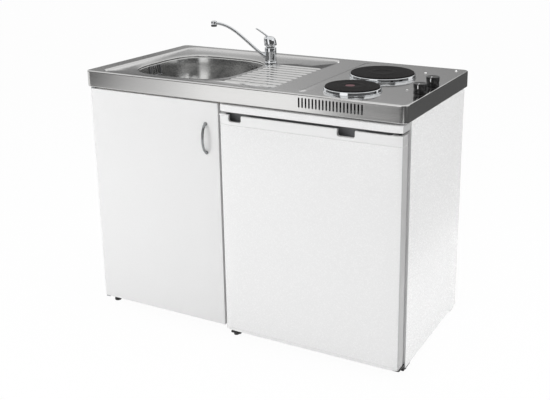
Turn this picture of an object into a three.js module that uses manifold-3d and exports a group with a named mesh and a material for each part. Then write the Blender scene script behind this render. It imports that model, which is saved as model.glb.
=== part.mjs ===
// Kitchenette unit: a pressed steel worktop with sink and two hotplates, over a sink cabinet
// and an under-counter refrigerator. Millimetres, X to the right, Y to the back, Z up.
import * as THREE from 'three';
import { mergeVertices } from 'three/addons/utils/BufferGeometryUtils.js';
import Module from 'manifold-3d';

const wasm = await Module();
wasm.setup();

// ---------------------------------------------------------------- driving dimensions
const seat = 0.3; // gap left between a cut piece and what it rests on

// worktop, pressed from one sheet
const unitWidth = 1200;
const unitDepth = 600;
const unitHeight = 890;
const halfWidth = unitWidth / 2;
const halfDepth = unitDepth / 2;
const sheet = 1.2;
const fasciaHeight = 56;
const fasciaLip = 14;
const cornerRadius = 22;
const edgeRadius = 5;
const wetField = {
  left: 52 - halfWidth, right: halfWidth - 470, front: 17 - halfDepth, back: halfDepth - 32,
  radius: 42, depth: 4, slope: 6,
};
const ventCount = 19;
const ventPitch = 11.8;
const ventWidth = 5.6;
const ventHeight = 32;
const ventCentreX = halfWidth - 248;
const ventDrop = 26;

// sink, its middle measured from the worktop's left edge
const bowl = { x: 304 - halfWidth, y: -29, half: 190, exponent: 3.4, lip: 9, depth: 158, flange: 8 };
const drainRadius = 45;
const overflow = { count: 4, pitch: 13, width: 6, height: 26, ahead: 22, top: 18 };
const trapDrop = 120;
const pipeRadius = 16;

// raised beads: on the drainer, and one between drainer and hob
const beadCount = 10;
const beadPitch = 35;
const beadFirst = wetField.front + 68;
const beadLeft = bowl.x + bowl.half + 27;
const beadRight = wetField.right - 9;
const beadWidth = 13;
const beadHeight = 3;
const hobBead = { x: halfWidth - 372, front: 38 - halfDepth, back: halfDepth - 38, width: 12, height: 1.6 };

// timber under the worktop
const battenWide = 30;
const battenTop = 8;
const battenMiddle = { left: halfWidth - 450, right: halfWidth - 420 };
const frontBattenRight = halfWidth - 395;

// mixer tap, behind the bowl's right-hand corner
const tap = {
  x: bowl.x + bowl.half + 2, y: bowl.y + bowl.half - 26, azimuth: 219.7,
  radius: 21, neck: 52, ballHeight: 62, ballRadius: 18.5,
};
const spoutRadius = 6;
const collar = { inner: 17.6, bottom: 13, top: 36 };
const aerator = { reach: 203, bottom: 140, height: 19, radius: 10.5 };

// hob
const plateX = halfWidth - 232;
const plates = [
  { name: 'front', y: 128 - halfDepth, radius: 86.6 },
  { name: 'rear', y: 370 - halfDepth, radius: 107 },
];
const plateTop = 15;
const plateSkirt = 9;
const ringHeight = 11;
const ringFlange = 8;
const knobX = halfWidth - 29;
const knobs = [
  { name: 'front', y: 185 - halfDepth },
  { name: 'rear', y: 300 - halfDepth },
];
const knobRadius = 21.5;
const knobHeight = 29;
const shaftRadius = 3;
const shaftClearance = 0.4;
const lampX = halfWidth - 76;
const lampY = 198 - halfDepth;
const lampRadius = 4.5;
const trayGap = 6; // from the rear hotplate's edge to the tray's back wall
const tray = {
  left: plateX - 128, right: plateX + 140,
  front: 38 - halfDepth, back: plates[1].y + plates[1].radius + trayGap,
  floor: 50, wall: 1, flange: 8, frontWall: 10,
};

// cabinet under the sink
const board = 16;
const cabinetLeft = 17 - halfWidth;
const cabinetRight = cabinetLeft + 535;
const cabinetFront = 22 - halfDepth;
const cabinetBack = halfDepth - 18;
const cabinetBottom = 34;
const doorLeft = cabinetLeft + 2;
const doorRight = cabinetRight - 6;
const doorBottom = cabinetBottom + 4;
const doorTop = unitHeight - fasciaHeight - 6;
const doorGap = 3;
const pivotIn = 7.5;
const pivotForward = 9.5;
const pinRadius = 3;
const pinClearance = 0.4;
const backPanelTop = 560;
const catchHeights = { bottom: doorTop - 108, top: doorTop - 68 };
const handle = { x: doorRight - 49, z: doorTop - 122, span: 98, proud: 26, radius: 4.2, foot: 6.5 };
const footRadius = 20;

// refrigerator
const fridgeLeft = cabinetRight + 2;
const fridgeRight = halfWidth - 4;
const fridgeFront = 54 - halfDepth;
const fridgeBack = halfDepth - 38;
const fridgeBottom = 14;
const tableTop = 27;
const tableInset = 3;
const fridgeWall = 40;
const fridgeSideTop = unitHeight - fasciaHeight - seat;
const fridgeDoor = {
  left: fridgeLeft + 3, right: fridgeRight - 3, front: fridgeFront - 64, back: fridgeFront - 18,
  bottom: 32, seam: fridgeSideTop - 68, radius: 9,
};
const cap = {
  top: fridgeSideTop - 35.7, postTop: fridgeSideTop - 31.7, postWidth: 20, lip: 9, channel: 24,
  floor: fridgeSideTop - 60.7, notchFloor: fridgeSideTop - 57.7,
};
const doorMiddle = (fridgeDoor.left + fridgeDoor.right) / 2;
const notches = [
  { left: fridgeDoor.left + 37, right: fridgeDoor.left + 84 },
  { left: doorMiddle + 104, right: doorMiddle + 166 },
];
const hingeX = fridgeDoor.right - 15;
const hingeY = fridgeDoor.front + 22;
const gasketWidth = 14;
const gasketGap = 0.8;
const cavity = {
  bottom: 58, top: fridgeSideTop - 69.7, back: fridgeBack - 50, radius: 18,
  humpTop: 205, humpFront: fridgeBack - 152,
};
const niche = { top: 163, front: fridgeBack - 110 };
const shelfDepthFront = fridgeFront + 86;
const glass = 4;
const railSize = 6;
const shelfHeights = { upper: 440, crisper: 222 };
const freezer = { bottom: 622, front: fridgeFront + 122, wall: 7, flapGap: 1 };
const condenserTube = 2.8;
const condenserInset = 24;

// ---------------------------------------------------------------- finishes
function finish(color, roughness, metalness) {
  return new THREE.MeshStandardMaterial({ color, roughness, metalness });
}

const steel = finish('#9b9b9a', 0.32, 1);
const bowlSteel = finish('#7d7e7e', 0.25, 1);
const chrome = finish('#d9dadb', 0.08, 1);
const castIron = finish('#2b2b2b', 0.75, 0.4);
const zinc = finish('#b4b6b8', 0.5, 1);
const timber = finish('#b79a6c', 0.8, 0);
const melamine = finish('#ececec', 0.5, 0);
const hardboard = finish('#d8d6d0', 0.8, 0);
const enamel = finish('#f1f1f1', 0.35, 0);
const liner = finish('#f4f5f5', 0.45, 0);
const blackPlastic = finish('#1a1a1a', 0.45, 0);
const greyPlastic = finish('#6b6c6e', 0.6, 0);
const whitePlastic = finish('#eeeeee', 0.4, 0);
const rubber = finish('#77797b', 0.8, 0);
const clearPlastic = finish('#dfe9ee', 0.1, 0);
const blackSteel = finish('#161616', 0.5, 0.3);

// ---------------------------------------------------------------- shaping tools

// Welds a geometry's corners, drops triangles that have shrunk to a line and turns its faces out.
function weld(geometry) {
  const bare = geometry.clone();
  bare.deleteAttribute('normal');
  bare.deleteAttribute('uv');
  const merged = mergeVertices(bare, 1e-4);
  const index = [...merged.index.array];
  const kept = [];
  for (let i = 0; i < index.length; i += 3) {
    const [a, b, c] = index.slice(i, i + 3);
    if (a !== b && b !== c && a !== c) kept.push(a, b, c);
  }
  merged.setIndex(kept);
  if (signedVolume(merged) < 0) merged.setIndex(kept.reverse());
  return merged;
}

function signedVolume(geometry) {
  const position = geometry.attributes.position;
  const index = geometry.index.array;
  const [a, b, c] = [new THREE.Vector3(), new THREE.Vector3(), new THREE.Vector3()];
  let sum = 0;
  for (let i = 0; i < index.length; i += 3) {
    a.fromBufferAttribute(position, index[i]);
    b.fromBufferAttribute(position, index[i + 1]);
    c.fromBufferAttribute(position, index[i + 2]);
    sum += a.dot(b.cross(c)) / 6;
  }
  return sum;
}

function solid(shape) {
  if (shape instanceof wasm.Manifold) return shape;
  const welded = weld(shape);
  return new wasm.Manifold(new wasm.Mesh({
    numProp: 3,
    vertProperties: new Float32Array(welded.attributes.position.array),
    triVerts: new Uint32Array(welded.index.array),
  }));
}

const join = (first, ...rest) => rest.reduce((sum, next) => sum.add(solid(next)), solid(first));
const cut = (first, ...rest) => rest.reduce((left, next) => left.subtract(solid(next)), solid(first));
const common = (first, second) => solid(first).intersect(solid(second));

function surface(shape) {
  if (!(shape instanceof wasm.Manifold)) {
    const welded = weld(shape);
    welded.computeVertexNormals();
    return welded;
  }
  const mesh = shape.getMesh();
  const geometry = new THREE.BufferGeometry();
  geometry.setAttribute('position', new THREE.BufferAttribute(mesh.vertProperties, mesh.numProp));
  geometry.setIndex(new THREE.BufferAttribute(mesh.triVerts, 1));
  geometry.computeVertexNormals();
  return geometry;
}

function piece(group, name, shape, material) {
  const mesh = new THREE.Mesh(surface(shape), material);
  mesh.name = name;
  group.add(mesh);
  return mesh;
}

function box(x0, x1, y0, y1, z0, z1) {
  const geometry = new THREE.BoxGeometry(x1 - x0, y1 - y0, z1 - z0);
  return geometry.translate((x0 + x1) / 2, (y0 + y1) / 2, (z0 + z1) / 2);
}

function rod(radius, z0, z1, x = 0, y = 0, sides = 16) {
  const geometry = new THREE.CylinderGeometry(radius, radius, z1 - z0, sides);
  return geometry.rotateX(Math.PI / 2).translate(x, y, (z0 + z1) / 2);
}

// Turned part: the profile lists radius and height pairs.
function turned(profile, sides = 20) {
  const points = profile.map(([radius, height]) => new THREE.Vector2(radius, height));
  return new THREE.LatheGeometry(points, sides).rotateX(Math.PI / 2);
}

function closedTurned(profile, sides) {
  return turned([...profile, profile[0]], sides);
}

function arc(x, y, radius, from, to, steps) {
  return Array.from({ length: steps + 1 }, (_, i) => {
    const angle = from + ((to - from) * i) / steps;
    return new THREE.Vector2(x + radius * Math.cos(angle), y + radius * Math.sin(angle));
  });
}

function roundedOutline(left, right, front, back, radius, steps = 4) {
  const quarter = Math.PI / 2;
  return [
    ...arc(right - radius, front + radius, radius, -quarter, 0, steps),
    ...arc(right - radius, back - radius, radius, 0, quarter, steps),
    ...arc(left + radius, back - radius, radius, quarter, 2 * quarter, steps),
    ...arc(left + radius, front + radius, radius, 2 * quarter, 3 * quarter, steps),
  ];
}

function stadium(halfWide, halfLong, steps = 2) {
  const reach = halfLong - halfWide;
  return [
    ...arc(0, reach, halfWide, 0, Math.PI, steps),
    ...arc(0, -reach, halfWide, Math.PI, 2 * Math.PI, steps),
  ];
}

function superOutline(half, exponent, count = 32) {
  return Array.from({ length: count }, (_, i) => {
    const angle = (2 * Math.PI * (i + 0.5)) / count;
    const reach = (value) => Math.sign(value) * Math.abs(value) ** (2 / exponent) * half;
    return new THREE.Vector2(reach(Math.cos(angle)), reach(Math.sin(angle)));
  });
}

function prism(outline, z0, z1) {
  const shape = new THREE.Shape(outline);
  return new THREE.ExtrudeGeometry(shape, { depth: z1 - z0, bevelEnabled: false }).translate(0, 0, z0);
}

// Skin through outlines that have the same number of points, closed flat at both ends.
function loft(sections) {
  const count = sections[0].outline.length;
  const positions = sections.flatMap(({ outline, z }) => outline.flatMap((p) => [p.x, p.y, z]));
  const index = [];
  for (let s = 0; s < sections.length - 1; s += 1) {
    for (let i = 0; i < count; i += 1) {
      const a = s * count + i;
      const b = s * count + ((i + 1) % count);
      index.push(a, b, b + count, a, b + count, a + count);
    }
  }
  const top = (sections.length - 1) * count;
  THREE.ShapeUtils.triangulateShape(sections[0].outline, []).forEach(([a, b, c]) => index.push(c, b, a));
  THREE.ShapeUtils.triangulateShape(sections.at(-1).outline, []).forEach(([a, b, c]) => {
    index.push(a + top, b + top, c + top);
  });
  const geometry = new THREE.BufferGeometry();
  geometry.setAttribute('position', new THREE.Float32BufferAttribute(positions, 3));
  geometry.setIndex(index);
  return geometry;
}

function tube(curve, radius, steps, sides = 8) {
  const section = new THREE.Shape(arc(0, 0, radius, 0, 2 * Math.PI, sides).slice(0, -1));
  return new THREE.ExtrudeGeometry(section, { steps, bevelEnabled: false, extrudePath: curve });
}

const vector = (x, y, z) => new THREE.Vector3(x, y, z);
const degrees = (angle) => (angle * Math.PI) / 180;

// ---------------------------------------------------------------- worktop

// The worktop's outside (inset 0) or its underside (inset by the sheet).
function pressing(inset) {
  const radius = edgeRadius - inset;
  const plan = (extra) => roundedOutline(
    extra - halfWidth, halfWidth - extra, extra - halfDepth, halfDepth - extra, cornerRadius - extra);
  const rolls = [0, 1, 2, 3].map((step) => {
    const angle = (step * Math.PI) / 6;
    const outline = plan(inset + radius * (1 - Math.cos(angle)));
    return { outline, z: -edgeRadius + radius * Math.sin(angle) };
  });
  return loft([{ outline: plan(inset), z: -fasciaHeight + inset }, ...rolls]);
}

// The space pressed down for the sink and drainer.
function wetDish(grow) {
  const plan = (extra) => roundedOutline(
    wetField.left - extra, wetField.right + extra, wetField.front - extra, wetField.back + extra,
    wetField.radius + extra, 5);
  return loft([
    { outline: plan(grow - wetField.slope), z: -wetField.depth - grow },
    { outline: plan(grow), z: -grow },
    { outline: plan(grow), z: edgeRadius },
  ]);
}

// A bead along X that rises from the floor to a flat crest.
function bead(left, right, width, height, floor, shrink) {
  const plan = (share) => {
    const half = (width / 2 - shrink) * share;
    return roundedOutline(left + width / 2 - half, right - width / 2 + half, -half, half, half * 0.7, 1);
  };
  return loft([
    { outline: plan(1), z: floor - shrink - 0.4 },
    { outline: plan(0.4), z: floor + height - shrink },
  ]);
}

function drainerBeads(shrink) {
  return Array.from({ length: beadCount }, (_, i) => {
    const strip = bead(beadLeft, beadRight, beadWidth, beadHeight, -wetField.depth, shrink);
    return strip.translate(0, beadFirst + i * beadPitch, 0);
  });
}

function hobBeadRun(shrink) {
  const strip = bead(hobBead.front, hobBead.back, hobBead.width, hobBead.height, 0, shrink);
  return strip.rotateZ(Math.PI / 2).translate(hobBead.x, 0, 0);
}

// The mouth of the bowl, turned down into a lip.
function bowlMouth(grow) {
  const plan = (extra) => superOutline(bowl.half + extra + grow, bowl.exponent)
    .map((p) => new THREE.Vector2(p.x + bowl.x, p.y + bowl.y));
  const floor = -wetField.depth;
  return loft([
    { outline: plan(0), z: floor - bowl.lip - 1 },
    { outline: plan(0), z: floor - 5 },
    { outline: plan(1.6), z: floor - 1.8 - grow },
    { outline: plan(5), z: floor - grow },
    { outline: plan(5), z: edgeRadius },
  ]);
}

function ventSlots() {
  return Array.from({ length: ventCount }, (_, i) => {
    const x = ventCentreX + (i - (ventCount - 1) / 2) * ventPitch;
    const slot = prism(stadium(ventWidth / 2, ventHeight / 2), 0, 10);
    return slot.rotateX(Math.PI / 2).translate(x, 5 - halfDepth, -ventDrop);
  });
}

const tapHole = 16.5;
const worktopHoles = [
  rod(tapHole, -20, 5, tap.x, tap.y),
  ...plates.map((plate) => rod(plate.radius - plateSkirt + 2, -20, 5, plateX, plate.y, 28)),
  ...knobs.map((knob) => rod(shaftRadius + 2, -20, 5, knobX, knob.y, 16)),
  rod(lampRadius - 1 + seat, -20, 5, lampX, lampY, 16),
];

function worktopSheet() {
  const outside = cut(join(cut(pressing(0), wetDish(0)), ...drainerBeads(0), hobBeadRun(0)), bowlMouth(0));
  const lipFloor = -wetField.depth - bowl.lip;
  const lip = cut(bowlMouth(sheet), box(-unitWidth, unitWidth, -unitDepth, unitDepth, -unitHeight, lipFloor));
  const underside = cut(
    join(cut(pressing(sheet), wetDish(sheet)), ...drainerBeads(sheet), hobBeadRun(sheet)), lip);
  const opening = prism(roundedOutline(
    fasciaLip - halfWidth, halfWidth - fasciaLip, fasciaLip - halfDepth, halfDepth - fasciaLip,
    cornerRadius / 2), -fasciaHeight - 1, -fasciaHeight + sheet + 1);
  return cut(outside, underside, opening, ...ventSlots(), ...worktopHoles);
}

// A bearer along the front (side -1) or the back (side 1), rebated over the fascia's return lip.
function edgeBatten(side, left, right) {
  const outside = halfDepth - sheet - seat;
  const inside = outside - battenWide;
  const over = box(left, right, inside, outside, -fasciaHeight + sheet + seat, -battenTop);
  const within = box(left, right, inside, halfDepth - fasciaLip - seat, -fasciaHeight - seat, -battenTop);
  const bearer = join(over, within);
  return side < 0 ? bearer.mirror([0, 1, 0]) : bearer;
}

function buildWorktop(unit) {
  const group = new THREE.Group();
  group.position.z = unitHeight;
  unit.add(group);
  piece(group, 'worktop', worktopSheet(), steel);

  const end = halfWidth - fasciaLip - cornerRadius / 2;
  const inner = halfDepth - sheet - battenWide - 2 * seat;
  piece(group, 'batten_front', edgeBatten(-1, -end, frontBattenRight), timber);
  piece(group, 'batten_rear', edgeBatten(1, -end, end), timber);
  piece(group, 'batten_middle', box(battenMiddle.left, battenMiddle.right, -inner, inner,
    -fasciaHeight - seat, -battenTop), timber);
}

// ---------------------------------------------------------------- sink

const bowlTop = -wetField.depth - bowl.lip - seat; // under the worktop's lip
const bowlFloor = -wetField.depth - bowl.depth + 5;

// The bowl's inside (grow 0) or outside (grow by the sheet): sides draw in to a round waste.
function bowlForm(grow) {
  const level = (half, z, exponent = bowl.exponent) => (
    { outline: superOutline(half + grow, exponent), z: z - grow });
  return loft([
    level(drainRadius + 12, bowlFloor - 5, 2),
    level(bowl.half - 50, bowlFloor, 3),
    level(bowl.half - 18, bowlFloor + 16),
    { outline: superOutline(bowl.half + grow, bowl.exponent), z: bowlTop },
  ]);
}

function overflowSlots(length) {
  return Array.from({ length: overflow.count }, (_, i) => {
    const y = -overflow.ahead + (i - (overflow.count - 1) / 2) * overflow.pitch;
    const slot = prism(stadium(overflow.width / 2, overflow.height / 2), 0, length);
    const z = -overflow.top - overflow.height / 2;
    return slot.rotateX(Math.PI / 2).rotateZ(-Math.PI / 2).translate(-bowl.half - 8 + length, y, z);
  });
}

function sinkBowl() {
  const mouth = prism(superOutline(bowl.half, bowl.exponent), bowlTop - 1, bowlTop + 1);
  const flange = prism(superOutline(bowl.half + bowl.flange, bowl.exponent), bowlTop - sheet, bowlTop);
  const shell = cut(join(bowlForm(sheet), flange), bowlForm(0), mouth);
  return cut(shell, rod(drainRadius, bowlFloor - 20, bowlFloor + 5, 0, 0, 32), ...overflowSlots(20));
}

function overflowDuct() {
  const bottom = -overflow.top - overflow.height - 8;
  const y = -overflow.ahead;
  const halfWide = (overflow.count * overflow.pitch) / 2 + 6;
  const top = bowlTop - sheet - seat;
  const wall = 2;
  const hood = box(-bowl.half - 16, -bowl.half + 12, y - halfWide, y + halfWide, bottom, top);
  const hollow = box(-bowl.half - 16 + wall, -bowl.half + 12, y - halfWide + wall, y + halfWide - wall,
    bottom + wall, top - wall);
  const route = new THREE.CatmullRomCurve3([
    vector(-bowl.half - 6, y, bottom + 1),
    vector(-bowl.half - 6, y, bottom - 60),
    vector(-bowl.half + 14, y * 0.7, bowlFloor - 40),
    vector(-bowl.half + 90, y * 0.1, bowlFloor - 50),
    vector(-drainRadius - 2, 0, bowlFloor - 44),
  ]);
  const clearOfBowl = bowlForm(sheet + seat);
  return cut(join(cut(hood, hollow), tube(route, 9, 10, 8)), clearOfBowl,
    rod(drainRadius + seat, bowlFloor - 80, bowlFloor, 0, 0, 32));
}

const drainFloor = bowlFloor - 5;
const tailTop = drainFloor - 60;
const tailEnd = drainFloor - 84;

function wasteBody() {
  const outer = drainRadius - 1;
  return closedTurned([
    [drainRadius + 9, drainFloor + 0.8], [drainRadius + 9, drainFloor + seat], [outer, drainFloor + seat],
    [outer, tailTop + 8], [pipeRadius + 4, tailTop], [pipeRadius + 4, tailEnd],
    [pipeRadius + 1, tailEnd], [pipeRadius + 1, tailTop + 4], [outer - 5, tailTop + 12],
    [outer - 8, drainFloor - 26], [outer - 8, drainFloor - 21 - seat], [outer - 2.5, drainFloor - 21 - seat],
    [outer - 2.5, drainFloor],
    [drainRadius + 4, drainFloor + 1.8],
  ], 16);
}

function basketPlug() {
  const radius = drainRadius - 4.2;
  return turned([
    [0, drainFloor - 21], [radius - 3, drainFloor - 21], [radius, drainFloor - 18], [radius, drainFloor - 2],
    [radius - 3, drainFloor - 2], [radius - 5, drainFloor - 15], [6, drainFloor - 15],
    [4, drainFloor - 4], [7.5, drainFloor + 1], [7, drainFloor + 4], [0, drainFloor + 5],
  ], 16);
}

const trapTop = tailEnd + 20;
const trapOutlet = drainFloor - trapDrop;

function bottleTrap() {
  const bodyBottom = trapOutlet - 70;
  const body = closedTurned([
    [pipeRadius + 4 + seat, trapTop], [pipeRadius + 12, trapTop], [pipeRadius + 12, trapTop - 24],
    [pipeRadius + 8, trapTop - 26], [32, trapOutlet + 20], [32, bodyBottom + 26],
    [35, bodyBottom + 24], [35, bodyBottom + 3], [3, bodyBottom], [3, bodyBottom + 4],
    [29, bodyBottom + 5], [29, trapOutlet + 18], [pipeRadius + 4 + seat, trapOutlet + 25],
  ], 16);
  const reach = halfDepth - 4 - bowl.y;
  const pipe = rod(pipeRadius, 28, reach, 0, 0, 12).rotateX(-Math.PI / 2).translate(0, 0, trapOutlet);
  const nut = rod(pipeRadius + 6, 30, 52, 0, 0, 12).rotateX(-Math.PI / 2).translate(0, 0, trapOutlet);
  const bore = rod(pipeRadius - 2, 20, reach + 1, 0, 0, 12).rotateX(-Math.PI / 2).translate(0, 0, trapOutlet);
  return cut(join(body, pipe, nut), bore, rod(3.2, bodyBottom - 1, bodyBottom + 8, 0, 0, 8));
}

function buildSink(unit) {
  const group = new THREE.Group();
  group.position.set(bowl.x, bowl.y, unitHeight);
  unit.add(group);
  piece(group, 'sink_bowl', sinkBowl(), bowlSteel);
  piece(group, 'overflow_duct', overflowDuct(), greyPlastic);
  piece(group, 'waste_body', wasteBody(), chrome);
  piece(group, 'basket_plug', basketPlug(), chrome);
  piece(group, 'bottle_trap', bottleTrap(), whitePlastic);
}

// ---------------------------------------------------------------- mixer tap, its spout along local X

const tapFloor = -wetField.depth + seat;
const ballGap = 0.7;

function ballForm(radius) {
  return new THREE.SphereGeometry(radius, 16, 8).rotateX(Math.PI / 2).translate(0, 0, tap.ballHeight);
}

function tapBody() {
  const core = collar.inner - 0.5;
  const shell = turned([
    [0, tapFloor], [tap.radius + 2.5, tapFloor], [tap.radius + 2.5, tapFloor + 3], [tap.radius, tapFloor + 6],
    [tap.radius, collar.bottom - 0.6], [core, collar.bottom - 0.6], [core, collar.top + 0.6],
    [tap.radius, collar.top + 0.6], [tap.radius, tap.neck - 2], [tap.radius - 2, tap.neck], [0, tap.neck],
  ], 16);
  const shank = rod(tapHole - 1.5, tapFloor - 42, tapFloor + 2);
  const seatBall = ballForm(tap.ballRadius + ballGap);
  const inlet = rod(5, tapFloor - 43, tapFloor - 20, 6, 0, 12);
  const outlet = rod(5, tapFloor - 43, tapFloor - 20, -6, 0, 12);
  return cut(join(shell, shank), seatBall, inlet, outlet);
}

function spoutRoute() {
  return new THREE.CatmullRomCurve3([
    vector(tap.radius - 2, 0, 22),
    vector(60, 0, 60),
    vector(100, 0, 98),
    vector(130, 0, 125),
    vector(152, 0, 141),
    vector(174, 0, 150.5),
    vector(aerator.reach - 4, 0, 153),
  ]);
}

function tapSpout() {
  const ring = closedTurned([
    [collar.inner, collar.bottom], [tap.radius, collar.bottom], [tap.radius + 1, collar.bottom + 2],
    [tap.radius + 1, collar.top - 2], [tap.radius, collar.top], [collar.inner, collar.top],
  ], 16);
  const socket = rod(aerator.radius - 1, aerator.bottom + 5.5, aerator.bottom + aerator.height,
    aerator.reach, 0, 16);
  const root = loft([
    { outline: arc(0, 0, 11, 0, 2 * Math.PI, 8).slice(0, -1), z: 0 },
    { outline: arc(0, 0, spoutRadius, 0, 2 * Math.PI, 8).slice(0, -1), z: 34 },
  ]).rotateY(degrees(46)).translate(tap.radius - 5, 0, 21);
  const core = rod(collar.inner, collar.bottom - 20, collar.top + 40, 0, 0, 16);
  const arm = cut(join(tube(spoutRoute(), spoutRadius, 12, 8), root), core);
  const neck = rod(tap.radius + 1, collar.top, tap.neck, 0, 0, 16);
  return cut(join(ring, arm, socket), neck, box(0, 60, -20, 20, -20, collar.bottom));
}

function tapAerator() {
  const low = aerator.bottom;
  return turned([
    [0, low + 1.5], [aerator.radius - 2.5, low + 1.5], [aerator.radius - 2, low], [aerator.radius - 0.8, low],
    [aerator.radius, low + 1], [aerator.radius, low + 5.2], [0, low + 5.2],
  ], 16).translate(aerator.reach, 0, 0);
}

// Domed cap over the ball, with the lever growing out of its crown.
function tapLever() {
  const outer = tap.ballRadius + 4;
  const rim = tap.ballHeight - 2;
  const dome = ballForm(outer);
  const crown = turned([[0, 0], [outer - 0.8, 0], [outer - 1.8, 15], [outer - 5, 22], [0, 22]], 16)
    .rotateY(degrees(-14)).translate(0, 0, tap.ballHeight + 4);
  const hollow = ballForm(tap.ballRadius + ballGap);
  const route = new THREE.CatmullRomCurve3([
    vector(2, 0, 84), vector(12, 0, 96), vector(30, 0, 111), vector(56, 0, 127),
  ]);
  const blade = tube(route, 4, 6, 8).scale(1, 1.5, 1);
  const below = box(-40, 40, -40, 40, 0, rim);
  const throat = rod(tap.ballRadius + ballGap, rim - 1, tap.ballHeight, 0, 0, 16);
  return cut(join(dome, crown, blade), below, hollow, throat);
}

function tapNut() {
  const top = -wetField.depth - sheet - seat;
  const inner = tapHole - 1.5 + seat;
  return closedTurned([
    [inner, top], [tapHole + 3.5, top], [tapHole + 3.5, top - 3], [tapHole + 2, top - 12], [inner, top - 12],
  ], 16);
}

function buildTap(unit) {
  const group = new THREE.Group();
  group.position.set(tap.x, tap.y, unitHeight);
  group.rotation.z = degrees(tap.azimuth);
  unit.add(group);
  piece(group, 'tap_body', tapBody(), chrome);
  piece(group, 'tap_spout', tapSpout(), chrome);
  piece(group, 'tap_aerator', tapAerator(), blackPlastic);
  piece(group, 'tap_ball', ballForm(tap.ballRadius), chrome);
  piece(group, 'tap_lever', tapLever(), chrome);
  piece(group, 'tap_nut', tapNut(), zinc);
}

// ---------------------------------------------------------------- hob

function hotplate({ radius }) {
  const throat = radius - plateSkirt;
  return turned([
    [0, -8], [throat - 22, -8], [throat - 18, -12], [throat, -12], [throat, 3],
    [radius, 8], [radius, plateTop - 1.5], [radius - 1.5, plateTop],
    [radius * 0.3, plateTop], [radius * 0.3 - 1, plateTop - 1.4], [0, plateTop - 1.4],
  ], 28);
}

function plateStud() {
  return rod(4, -34, -8, 0, 0, 12);
}

function trimRing({ radius }) {
  const inner = radius - plateSkirt + 2.6;
  return closedTurned([
    [inner, seat], [radius + ringFlange, seat], [radius + 4.6, 1.6], [radius + 4.6, 6],
    [radius + 1.6, ringHeight], [radius + 0.6, ringHeight], [radius + 1.8, 2.2], [inner, 1.4],
  ], 28);
}

function plateClamp({ radius }) {
  const half = radius - plateSkirt + 14;
  const bottom = -30;
  const top = -sheet - seat;
  const bar = box(-half, half, -11, 11, bottom, bottom + 3);
  const hooks = [[-half, 3 - half], [half - 3, half]].map(([from, to]) => box(from, to, -11, 11, bottom, top));
  return cut(join(bar, ...hooks), rod(4 + seat, bottom - 1, bottom + 4, 0, 0, 12));
}

function controlKnob() {
  const top = seat + 0.5 + knobHeight;
  const body = turned([
    [0, seat + 0.5], [knobRadius, seat + 0.5], [knobRadius, seat + 5], [knobRadius - 1.2, seat + 6.5],
    [knobRadius - 2, top - 2], [knobRadius - 4, top], [0, top],
  ], 16);
  const bore = rod(shaftRadius + shaftClearance, -5, top - 7, 0, 0, 12);
  const pointer = box(-1.2, 1.2, -knobRadius - 1, -knobRadius * 0.35, top - 0.8, top + 1);
  return cut(body, bore, pointer);
}

function hobSwitch() {
  const top = -sheet - seat;
  const shaftTop = seat + knobHeight - 8;
  return join(box(-22, 22, -20, 20, -42, top), rod(shaftRadius, top - 1, shaftTop, 0, 0, 12));
}

const glandX = halfWidth - 300;
const glandZ = -32;

function hobTray() {
  const { left, right, front, back, floor, wall, flange, frontWall } = tray;
  const top = -sheet - seat;
  const tub = cut(box(left, right, front, back, -floor, top), box(left + wall, right - wall, front + wall,
    back - wall, -floor + wall, top + 1));
  const flanges = join(box(left - flange, left + wall, front, back, top - wall, top),
    box(right - wall, right + flange, front, back, top - wall, top));
  const airWay = box(left - flange - 1, right + flange + 1, front - 1, front + 2 * wall,
    -floor + frontWall, top + 1);
  const glandHole = rod(8, -5, 5, 0, 0, 16).rotateX(Math.PI / 2).translate(glandX, back, glandZ);
  return cut(join(tub, flanges), airWay, glandHole);
}

function cableGland() {
  return closedTurned([
    [4.5, 0], [8 - seat, 0], [8 - seat, 1 + 2 * seat], [12, 1 + 2 * seat],
    [12, 8], [8, 10], [7, 22], [4.5, 22],
  ], 12).rotateX(-Math.PI / 2).translate(glandX, tray.back - 1 - seat, glandZ);
}

function pilotLamp() {
  return turned([
    [0, -16], [lampRadius - 1, -16], [lampRadius - 1, seat], [lampRadius, seat], [lampRadius, 1.4],
    [lampRadius - 1.4, 2.8], [0, 3.4],
  ], 12).translate(lampX, lampY, 0);
}

function buildHob(unit) {
  const group = new THREE.Group();
  group.position.z = unitHeight;
  unit.add(group);
  for (const plate of plates) {
    const station = new THREE.Group();
    station.position.set(plateX, plate.y, 0);
    group.add(station);
    piece(station, `hotplate_${plate.name}`, join(hotplate(plate), plateStud()), castIron);
    piece(station, `trim_ring_${plate.name}`, trimRing(plate), chrome);
    piece(station, `plate_clamp_${plate.name}`, plateClamp(plate), zinc);
  }
  for (const knob of knobs) {
    const station = new THREE.Group();
    station.position.set(knobX, knob.y, 0);
    group.add(station);
    piece(station, `knob_${knob.name}`, controlKnob(), blackPlastic);
    piece(station, `switch_${knob.name}`, hobSwitch(), greyPlastic);
  }
  piece(group, 'pilot_lamp', pilotLamp(), clearPlastic);
  piece(group, 'hob_tray', hobTray(), zinc);
  piece(group, 'cable_gland', cableGland(), blackPlastic);
}

// ---------------------------------------------------------------- cabinet under the sink

const bearerTop = unitHeight - fasciaHeight - seat; // the battens' underside
const pivotX = doorLeft + pivotIn;
const doorBack = cabinetFront - doorGap;
const doorFront = doorBack - board;
const pivotY = doorBack - pivotForward;
const bottomBoardTop = cabinetBottom + 10 + board;
const hingeLeaf = 3;
const railHeight = 46;

function cabinetDoor() {
  const panel = box(doorLeft, doorRight, doorFront, doorBack, doorBottom, doorTop);
  const bores = [
    rod(pinRadius + pinClearance, doorBottom - 1, doorBottom + 20, pivotX, pivotY, 12),
    rod(pinRadius + pinClearance, doorTop - 20, doorTop + 1, pivotX, pivotY, 12),
  ];
  return cut(panel, ...bores);
}

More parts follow.
